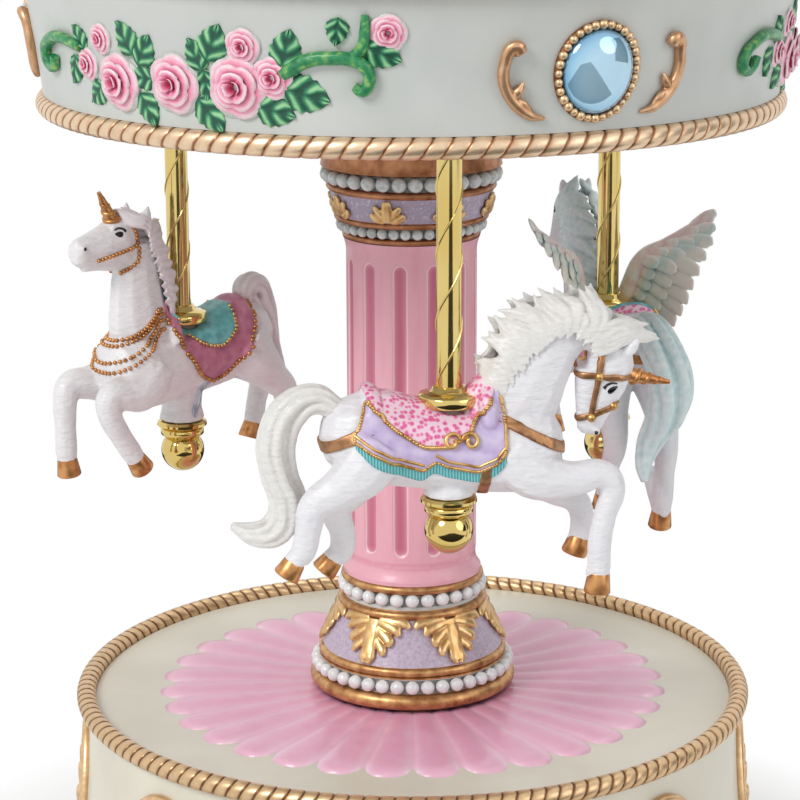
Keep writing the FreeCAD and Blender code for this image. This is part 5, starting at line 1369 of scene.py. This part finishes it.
class CAROUSEL_OT_front_unicorn(bpy.types.Operator):
    """Front horned horse with pink saddle, lilac blanket and turquoise fringe"""
    bl_idname = "carousel.front_unicorn"
    bl_label = "Front horned horse"

    def execute(self, context):
        pearly = context.scene.carousel_colours.horse
        # Painted shade: grey in the folds of body and mane from their stored relief, with a painted highlight
        # paler on the ridges
        white = shaded_paint("pearly white resin", "b9b6bd", pearly, "f4f4f5", 0.42, 0.25, 0.6)
        hair = shaded_paint("ivory mane resin", "a9a39b", "e6e4e0", "f6f5f3", 0.42, 0.25, 0.6)
        copper = gilt_paint("copper hoof paint", "d39a63", "9a6236", 0.3)
        gold = gilt_paint("saddle gilt paint", "e0b878", "a97a3e", 0.3)
        skin, tree, place = cast_horse(context, FRONT, white, hair, copper, 3)
        lilac = painted_resin("lilac blanket paint", "d6c8e6", "bfabd6", 3.0, 0.4)
        fringe = combed_fringe("turquoise fringe paint", "8fdadb", "4aa7b2", 0.6)
        pink = speckled_seat("pink seat paint")
        strap_paint = gilt_paint("bronze strap paint", "b88a63", "8d6442", 0.38)
        hem = ((-19.6, -5.0), (-16.0, -7.4), (-12.3, -9.4), (-5.9, -11.4), (-3.6, -9.4), (-1.0, -10.8),
               (4.8, -12.0), (8.4, -10.4), (10.2, -8.4))
        low = ((-20.0, -5.6), (-16.0, -9.8), (-12.0, -11.8), (-6.2, -13.8), (-3.8, -12.0), (-1.0, -13.2),
               (5.0, -14.4), (8.6, -12.8), (10.4, -10.4))
        seat = ((-17.2, 4.0), (-15.7, 0.6), (-11, -3.7), (-5.9, -6.9), (-0.9, -6.9), (2.3, -5.3), (6.1, -0.8),
                (8.8, 4.0))
        saddle_cloths("front_unicorn", skin, place, (
            ("fringe", hem, low, 0.3, fringe, "green_paint"),
            ("blanket", ((-19.6, -5.0), (-16.6, 2.4), (-16.4, 6.0), (8.6, 6.0), (10.2, -1.0)), hem, 0.45,
             lilac, "lavender_resin"),
            ("seat", level_edge(-17.2, 8.8, 8.0), seat, 0.9, pink, "pink_resin")),
            {"blanket": (gold, "gilt_trim", 0.42, 0.3), "seat": (gold, "gilt_trim", 0.5, 0.35)})
        # Crupper, breast strap and girth, then cheek strap, browband and noseband
        bands = (((-26, -7.6), (-13, -1.4), 2.2), ((7, -0.4), (24, -9.6), 1.9), ((6.4, -9), (6.4, -22), 1.9),
                 ((30.6, 12.5), (28.0, -4.0), 1.1), ((24, 5.8), (37, 4.6), 1.1),
                 ((24.5, -4.0), (34, -0.6), 1.1))
        straps("front_unicorn", skin, place, bands, strap_paint)
        lines = []
        for side in (-1, 1):
            for low_edge in (hem[:4], hem[4:]):
                run = []
                for k in range(13):
                    x, z = part_way(low_edge, k / 12)
                    run += side_on(tree, side, x, z + 1.2, 0.45)
                lines.append(sweep([(*p, 0.32) for p in run], sides=2, steps=3))
            for hand in (-1, 1):
                run = []
                for k in range(15):
                    turn = math.radians(165 - 29 * k)
                    r = 1.75 * (1 - 0.05 * k)
                    x, z = 1.4 + hand * (1.9 + r * math.cos(turn)), -6.0 + r * math.sin(turn)
                    run += side_on(tree, side, x, z, 1.1)
                lines.append(sweep([(*p, 0.45) for p in run], sides=2, steps=3))
        tack("front_unicorn_gold_lines", joined(lines), gold, "gilt_trim", place)
        beads = []
        for side in (-1, 1):
            for x, z in ((29.6, 5.3), (28.3, -3.2), (32.6, -1.0)):
                beads += side_on(tree, side, x, z)
        tack("front_unicorn_rosettes", bead_run(beads, 0.95, 2), gold, "gilt_trim", place)
        return {"FINISHED"}


class CAROUSEL_OT_left_unicorn(bpy.types.Operator):
    """Left horned horse with teal saddle, rose blanket and bead chains"""
    bl_idname = "carousel.left_unicorn"
    bl_label = "Left horned horse"

    def execute(self, context):
        # Painted shade: lilac grey in the body's folds and rosy grey in the mane's, from their stored relief,
        # paler on the ridges
        white = shaded_paint("white resin with lilac painted shade", "bdb1bb", "eae8ea", "f5f4f5", 0.42, 0.25, 0.6)
        hair = shaded_paint("rose tinted mane resin with painted shade", "ad9ba6", "e4dcdf", "f3efef", 0.42, 0.25, 0.35)
        copper = bpy.data.materials["copper hoof paint"]
        gold = bpy.data.materials["saddle gilt paint"]
        skin, tree, place = cast_horse(context, LEFT, white, hair, copper, 11)
        rose = painted_resin("rose blanket paint", "c9859c", "b56a86", 2.2, 0.4)
        teal = painted_resin("teal seat paint", "7cc3c2", "559a9f", 2.2, 0.4)
        hem = ((-18, 4), (-16.4, -2.5), (-12.4, -8.5), (-7.4, -12.2), (-3.6, -13.4), (0, -11.4), (4.2, -6.0),
               (7.6, 1.6))
        seat = ((-12.6, 4.5), (-12.0, 0.5), (-9.8, -3.4), (-6.4, -5.6), (-3.0, -5.4), (-0.5, -4.4), (3, -2.4),
                (6.0, 2.5))
        saddle_cloths("left_unicorn", skin, place, (
            ("blanket", level_edge(-18, 7.6, 6.0), hem, 0.5, rose, "pink_resin"),
            ("seat", level_edge(-12.6, 6.0, 8.0), seat, 0.95, teal, "green_paint")),
            {"blanket": (copper, "gilt_trim", 0.62, 0.85), "seat": (gold, "gilt_trim", 0.5, 0.8)})
        silver = gilt_paint("silver strap paint", "c3ccd6", "93a0b0", 0.34)
        straps("left_unicorn", skin, place, (((-3.2, -12.6), (0.6, -21.6), 1.5),), silver)
        chains = []
        for rear, sag in ((4.6, 6.0), (3.5, 6.0), (2.2, 8.2), (0.2, 8.4)):
            for step in range(81):
                turn = math.radians(-108 + 2.7 * step)
                z = rear - sag * max(0.0, math.cos(turn)) ** 1.2
                chains += on_skin(tree, (10 + 15 * math.cos(turn), 15 * math.sin(turn), z), (10, 0, z), 0.2)
        for side in (-1, 1):
            for a, b in (((24.6, 17.6), (18.4, 18.8)), ((18.4, 18.8), (13.8, 19.6)),
                         ((13.8, 19.6), (15.2, 25.0)),
                         ((13.8, 19.6), (14.2, 16.2)), ((14.2, 16.2), (18.2, 13.6))):
                for k in range(15):
                    run = Vector(a).lerp(Vector(b), k / 14)
                    chains += side_on(tree, side, run.x, run.y)
        tack("left_unicorn_chains", bead_run(thinned(chains, 0.76), 0.5, 2), copper, "gilt_trim", place)
        return {"FINISHED"}


def flattened(mesh, point, normal, share):
    """Presses a mesh towards a plane."""
    for vertex in mesh.vertices:
        gap = (vertex.co - point).dot(normal)
        vertex.co = vertex.co - normal * gap * (1 - share)
    return mesh


def wing_mesh(side):
    """A raised wing: an arm along its leading edge and three rows of broad overlapping feathers behind it."""
    edge = [Vector(p) for p in ((4, 6, -4), (2, 7, 5), (0, 8.5, 11), (-3, 15, 15), (-7, 22, 21))]
    back = [Vector(p) for p in ((-12, 6, -7), (-14, 10, -3), (-15, 15, 1.5), (-15, 19, 8),
                                (-13.6, 22.4, 15.5), (-9.4, 23.6, 22.6))]
    normal = (edge[4] - edge[0]).cross(Vector((-1, 0.3, -0.25))).normalized()
    rows = ((11, 0.06, 0.98, 1.0, 2.1), (9, 0.05, 0.9, 0.66, 1.9), (8, 0.04, 0.8, 0.36, 1.7))
    meshes = []
    for row, (count, start, stop, length, wide) in enumerate(rows):
        for k in range(count):
            share = start + (stop - start) * k / (count - 1)
            root = part_way(edge, 0.82 * share)
            tip = root.lerp(part_way(back, share), length)
            bend = (tip - root).cross(normal) * 0.07
            lift = normal * (0.55 * row + 0.12 * (k % 3))
            run = [(root, 0.8), (root.lerp(tip, 0.35) + bend, 0.85 * wide),
                   (root.lerp(tip, 0.72) + bend, wide),
                   (root.lerp(tip, 0.93) + 0.5 * bend, 0.75 * wide), (tip, 0.3)]
            feather = sweep([(*(p + lift), r) for p, r in run], sides=2)
            meshes.append(flattened(feather, root + lift, normal, 0.2))
    taper = ((0, 3.2), (0.25, 2.8), (0.5, 2.4), (0.7, 1.9), (0.86, 1.3), (0.97, 0.5))
    arm = sweep([(*part_way(edge, t), r) for t, r in taper])
    meshes.append(flattened(arm, edge[2], normal, 0.7))
    whole = joined(meshes)
    fine = [part_way(edge, k / 40) for k in range(41)]
    along = [min(1.0, min((v.co - p).length for p in fine) / 15) for v in whole.vertices]
    whole.attributes.new("along", "FLOAT", "POINT").data.foreach_set("value", along)
    for vertex in whole.vertices:
        vertex.co.y *= side
    if side < 0:
        whole.flip_normals()
    return whole


class CAROUSEL_OT_winged_horse(bpy.types.Operator):
    """Right horse with raised wings"""
    bl_idname = "carousel.winged_horse"
    bl_label = "Winged horse"

    def execute(self, context):
        # Painted shade: teal grey in the folds of body and hair from their stored relief; the hair's teal is
        # also its own wash
        white = shaded_paint("white resin with teal painted shade", "9ab4b8", "dedfe3", "f1f0f3", 0.42, 0.25, 0.35)
        hair = shaded_paint("teal washed hair resin with painted shade", "5aa5ad", "b9d6d9", "f1f4f4", 0.42, 0.5, 0.35)
        copper = bpy.data.materials["copper hoof paint"]
        gold = bpy.data.materials["saddle gilt paint"]
        skin, _, place = cast_horse(context, WINGED, white, hair, copper, 23)
        feather = feather_paint("washed feather resin")
        wings = joined([wing_mesh(-1), wing_mesh(1)])
        tack("winged_horse_wings", shade_folds(wings), feather, "white_resin", place)
        teal = bpy.data.materials["teal seat paint"]
        pink = bpy.data.materials["pink seat paint"]
        hem = ((-18, 4), (-16.4, -3.5), (-11.5, -8.0), (-5, -10.4), (1.5, -9.6), (6, -5.5), (9.0, 4))
        seat = ((-16.6, 4.5), (-14.8, 0), (-10, -4.0), (-4.5, -5.8), (1, -5.0), (5, -1.5), (8.4, 4.5))
        saddle_cloths("winged_horse", skin, place, (
            ("blanket", level_edge(-18, 9.0, 6.0), hem, 0.5, pink, "pink_resin"),
            ("seat", level_edge(-16.6, 8.4, 8.0), seat, 0.95, teal, "green_paint")),
            {"blanket": (gold, "gilt_trim", 0.45, 0.32), "seat": (gold, "gilt_trim", 0.45, 0.32)})
        bands = (((3.0, -8), (3.0, -26), 2.2), ((-26, -6.6), (-13, -2.0), 1.8))
        straps("winged_horse", skin, place, bands, copper)
        return {"FINISHED"}


class CAROUSEL_OT_poles(bpy.types.Operator):
    """Brass poles with raised spiral lines, saddle flanges and ball ends"""
    bl_idname = "carousel.poles"
    bl_label = "Brass poles"

    def execute(self, context):
        lead = context.scene.carousel_sizes.pole_lead
        brass = bpy.data.materials["polished brass"]
        low, high = level("top_flanges") + 0.6, level("pole_front") - 0.6
        for k, node in enumerate(("pole_front", "pole_right", "pole_left")):
            a = math.radians(POLE_ANGLE + THIRD * k)
            x, y = POLE_CIRCLE * math.cos(a), POLE_CIRCLE * math.sin(a)
            lines = []
            for start in (0, math.pi):
                count = int((high - low) / lead * 16)
                run = []
                for step in range(count + 1):
                    turn = start + math.pi / 8 * step
                    z = low + (high - low) * step / count
                    run.append((x + POLE_RADIUS * math.cos(turn), y + POLE_RADIUS * math.sin(turn), z, 0.26))
                lines.append(sweep(run, sides=1, steps=3))
            piece(node + "_lines", placed(joined(lines), Matrix.Scale(MM, 4)), brass, "carousel", "brass")
            foot, head = level(node, False), level(node)
            wall = [(POLE_RADIUS, z) for z in (foot, foot + 0.2, head - 0.2, head)]
            tube = turned([(POLE_RADIUS - 0.4, foot), *wall, (POLE_RADIUS - 0.4, head)])
            spot = Matrix.Scale(MM, 4) @ Matrix.Translation((x, y, 0))
            piece(node + "_tube", placed(tube, spot), brass, "carousel", "brass", (node,))
        flange = ((2.4, 0.0), (5.9, 0.0), (6.15, 0.25), (6.15, 1.9), (5.9, 2.25), (4.2, 2.6), (3.5, 2.9),
                  (3.3, 3.7), (2.4, 3.8))
        ball = [(1.2, -1.6), (4.6, -1.7), (4.9, -2.0), (4.9, -3.1), (4.6, -3.4), (3.7, -3.5), (3.5, -3.8)]
        for k in range(16):
            a = 0.85 + 0.1485 * k
            ball.append((4.9 * math.sin(a), -7.0 + 4.9 * math.cos(a)))
        for name, profile, node in (("saddle_flanges", flange, "top_flanges"),
                                    ("ball_ends", ball, "ball_finials")):
            turned_parts = []
            for horse in (FRONT, LEFT, WINGED):
                lift = horse["belly"] if node == "ball_finials" else 0.0
                turned_parts.append(placed(turned(profile, lift), place_of(horse)))
            piece(name, joined(turned_parts), brass, "carousel", "brass", (node,))
        return {"FINISHED"}


class CAROUSEL_OT_finishes(bpy.types.Operator):
    """Finishes of the CAD nodes that keep their shape"""
    bl_idname = "carousel.finishes"
    bl_label = "CAD finishes"

    def execute(self, context):
        colours = context.scene.carousel_colours
        cream = painted_resin("cream satin paint", "e4e0d0", "dad5c3", 26.0, 0.4, 0.12)
        chalk = painted_resin("chalk satin paint", "cdd0cc", "c1c5c1", 26.0, 0.42, 0.15)
        pink = painted_resin("pink satin paint", "efa9c0", "e89fb8", 8.0, 0.36)
        gilt = gilt_paint("bright gilt paint", "d6a873", "a06d3e", 0.32)
        brass = polished_brass("polished brass")
        steel = plain_metal("plain steel", "b9babd", "8e9094", 0.32)
        zinc = plain_metal("cast zinc", "a3a5a8", "7f8286", 0.5)
        black = painted_resin("black plastic", "1d1d1e", "121213", 3.0, 0.5)
        rubber = painted_resin("rubber", "191919", "101010", 2.0, 0.75)
        pearl = pearl_plastic("pearl bead", "f6f7f6", "e2e6e8")
        # The capital's pearls are a greyer copy of the pedestal's pearl paint
        grey_pearl = pearl_plastic("greyer pearl bead", "e0e3e2", "b3bbbc")
        pedestal = banded_frieze(
            "pedestal paint", level("pedestal", False), 26.0,
            ((0.0, 3.4), (6.6, 9.0), (18.5, 20.5), (23.4, 26.0)),
            ((3.4, 6.6), (20.5, 23.4)), colours.lavender, "96603a", "d8ab73")
        capital = banded_frieze(
            "capital paint", level("capital", False), 29.0,
            ((0.0, 1.5), (3.7, 5.05), (10.3, 12.0), (15.0, 29.0)),
            ((1.5, 3.7), (12.0, 15.0)), "a99db4", "8f5a3a", "bd8560")
        shaft = fluted_pink("fluted shaft paint", SHAFT_RADIUS, colours.pink)
        finishes = {
            cream: "base_shell", chalk: "canopy_drum", pink: "canopy_roof", shaft: "column_shaft",
            pedestal: "pedestal", capital: "capital", pearl: "pedestal_pearls", grey_pearl: "capital_pearls",
            gilt: "finial",
            brass: "belly_cups winding_key canopy_hub base_bush column_bush melody_cylinder governor_wheel",
            steel: "pole_rods rod_nuts drive_shaft winding_arbor mainspring tone_comb comb_screws "
                   "cover_screws bedplate_screws spring_barrel barrel_cover",
            zinc: "bedplate", black: "governor_housing bottom_cover", rubber: "feet",
        }
        for material, names in finishes.items():
            for node in names.split():
                finish_node(node, material)
        return {"FINISHED"}


# Camera of the photograph: millimetres back from the axis and above the platform, turns in degrees, lens
CAMERA_BACK = 563.03
CAMERA_RISE = 205.54
CAMERA_YAW = 0.263
CAMERA_DIP = 13.954
CAMERA_ROLL = -0.187
CAMERA_LENS = 119.07
# The floor is plain paper under the object and turns to pure white between these two radii in metres
SHADOW_EDGE = (0.088, 0.13)
# Lamps: name, place, size across, watts
LAMPS = (
    ("key", (-0.75, -0.85, 0.95), 0.55, 9.5), ("fill", (0.95, -0.6, 0.55), 0.8, 2.4),
    ("top", (0.1, 0.25, 1.1), 0.7, 3.4))
LAMP_AIM = (0, 0, 0.14)


def seen_sharply(tree):
    """1 for the camera, for glass and for mirrors, 0 for soft light."""
    path = add(tree, "ShaderNodeLightPath").outputs
    seen = reckoned(tree, "MAXIMUM", path["Is Camera Ray"], path["Is Transmission Ray"])
    return reckoned(tree, "MAXIMUM", seen, path["Is Glossy Ray"])


def stage_object(name, data):
    """An object of the stage, linked to the scene."""
    obj = bpy.data.objects.new(name, data)
    bpy.context.scene.collection.objects.link(obj)
    return obj


class CAROUSEL_OT_stage(bpy.types.Operator):
    """Floor, dark cards, lights and the camera at the photograph's view"""
    bl_idname = "carousel.stage"
    bl_label = "Stage"

    def execute(self, context):
        scene = context.scene
        scene.view_settings.view_transform = "Standard"
        bm = bmesh.new()
        bmesh.ops.create_circle(bm, cap_ends=True, segments=64, radius=3.0)
        floor = stage_object("floor", mesh_from(bm))
        material, tree, place = new_material("white paper sweep")
        floor.data.materials.append(surfaced(material, {"Base Color": linear("f4f4f4"), "Roughness": 0.9}))
        away = ranged(tree, radius_from_axis(tree, place), *SHADOW_EDGE, "From")
        share = reckoned(tree, "MULTIPLY", seen_sharply(tree), away)
        white = add(tree, "ShaderNodeEmission", {"Color": (1, 1, 1, 1), "Strength": 1.0}).outputs["Emission"]
        paper = tree.nodes["Principled BSDF"].outputs["BSDF"]
        mixed = add(tree, "ShaderNodeMixShader", {0: share, 1: paper, 2: white}).outputs["Shader"]
        tree.links.new(mixed, tree.nodes["Material Output"].inputs["Surface"])

        # Black cards that only polished metal and glass see, for the dark stripes in them
        dark = surfaced(new_material("black board")[0], {"Base Color": linear("060606"), "Roughness": 1.0})
        upright = Matrix.Translation((1.2, 0, 0.35)) @ turn_about(90, "Y") @ Matrix.Diagonal((0.9, 0.8, 1, 1))
        lying = Matrix.Translation((0.75, 0, 0.002)) @ Matrix.Diagonal((1.2, 0.5, 1, 1))
        for name, azimuth, shape in (("card_right", -4, upright), ("card_front", -76, lying),
                                     ("card_back", 90, lying)):
            bm = bmesh.new()
            bmesh.ops.create_grid(bm, x_segments=1, y_segments=1, size=0.5)
            card = stage_object(name, placed(mesh_from(bm), turn_about(azimuth, "Z") @ shape))
            card.data.materials.append(dark)
            card.visible_camera = False
            card.visible_diffuse = False
            card.visible_shadow = False

        scene.world = bpy.data.worlds.new("studio")
        scene.world.use_nodes = True
        tree = scene.world.node_tree
        fill(tree, tree.nodes["Background"], {"Color": (1, 1, 1, 1),
                                              "Strength": ranged(tree, seen_sharply(tree), 0.42, 1.0)})
        for name, spot, size, watts in LAMPS:
            light = bpy.data.lights.new(name, "AREA")
            light.shape = "DISK"
            light.size = size
            light.energy = watts
            lamp = stage_object(name, light)
            lamp.location = spot
            lamp.rotation_euler = (Vector(LAMP_AIM) - Vector(spot)).to_track_quat("-Z", "Y").to_euler()

        camera = bpy.data.cameras.new("camera")
        camera.sensor_width = 36.0
        camera.lens = CAMERA_LENS
        scene.camera = stage_object("camera", camera)
        turn = turn_about(CAMERA_YAW, "Z") @ turn_about(90 - CAMERA_DIP, "X") @ turn_about(CAMERA_ROLL, "Z")
        spot = Vector((0, -CAMERA_BACK, PLATFORM_Z + CAMERA_RISE)) * MM
        scene.camera.matrix_world = Matrix.Translation(spot) @ turn
        return {"FINISHED"}


class CAROUSEL_PT_panel(bpy.types.Panel):
    """Lists the pieces in the order they are made"""
    bl_label = "Carousel"
    bl_idname = "CAROUSEL_PT_panel"
    bl_space_type = "VIEW_3D"
    bl_region_type = "UI"
    bl_category = "Carousel"

    def draw(self, context):
        for group in (context.scene.carousel_sizes, context.scene.carousel_colours):
            for key in group.__annotations__:
                self.layout.prop(group, key)
        for operator in OPERATORS:
            self.layout.operator(operator.bl_idname)


OPERATORS = (
    CAROUSEL_OT_finishes, CAROUSEL_OT_ropes, CAROUSEL_OT_rosette, CAROUSEL_OT_scrolls, CAROUSEL_OT_gems,
    CAROUSEL_OT_skirt, CAROUSEL_OT_acanthus, CAROUSEL_OT_garlands, CAROUSEL_OT_poles,
    CAROUSEL_OT_front_unicorn, CAROUSEL_OT_left_unicorn, CAROUSEL_OT_winged_horse, CAROUSEL_OT_stage)
GROUPS = (CarouselSizes, CarouselColours)


def register():
    for item in GROUPS + OPERATORS + (CAROUSEL_PT_panel,):
        bpy.utils.register_class(item)
    bpy.types.Scene.carousel_sizes = bpy.props.PointerProperty(type=CarouselSizes)
    bpy.types.Scene.carousel_colours = bpy.props.PointerProperty(type=CarouselColours)


def unregister():
    del bpy.types.Scene.carousel_colours
    del bpy.types.Scene.carousel_sizes
    for item in reversed(GROUPS + OPERATORS + (CAROUSEL_PT_panel,)):
        bpy.utils.unregister_class(item)


def main():
    register()
    for operator in OPERATORS:
        group, name = operator.bl_idname.split(".")
        getattr(getattr(bpy.ops, group), name)()


if __name__ == "__main__":
    main()
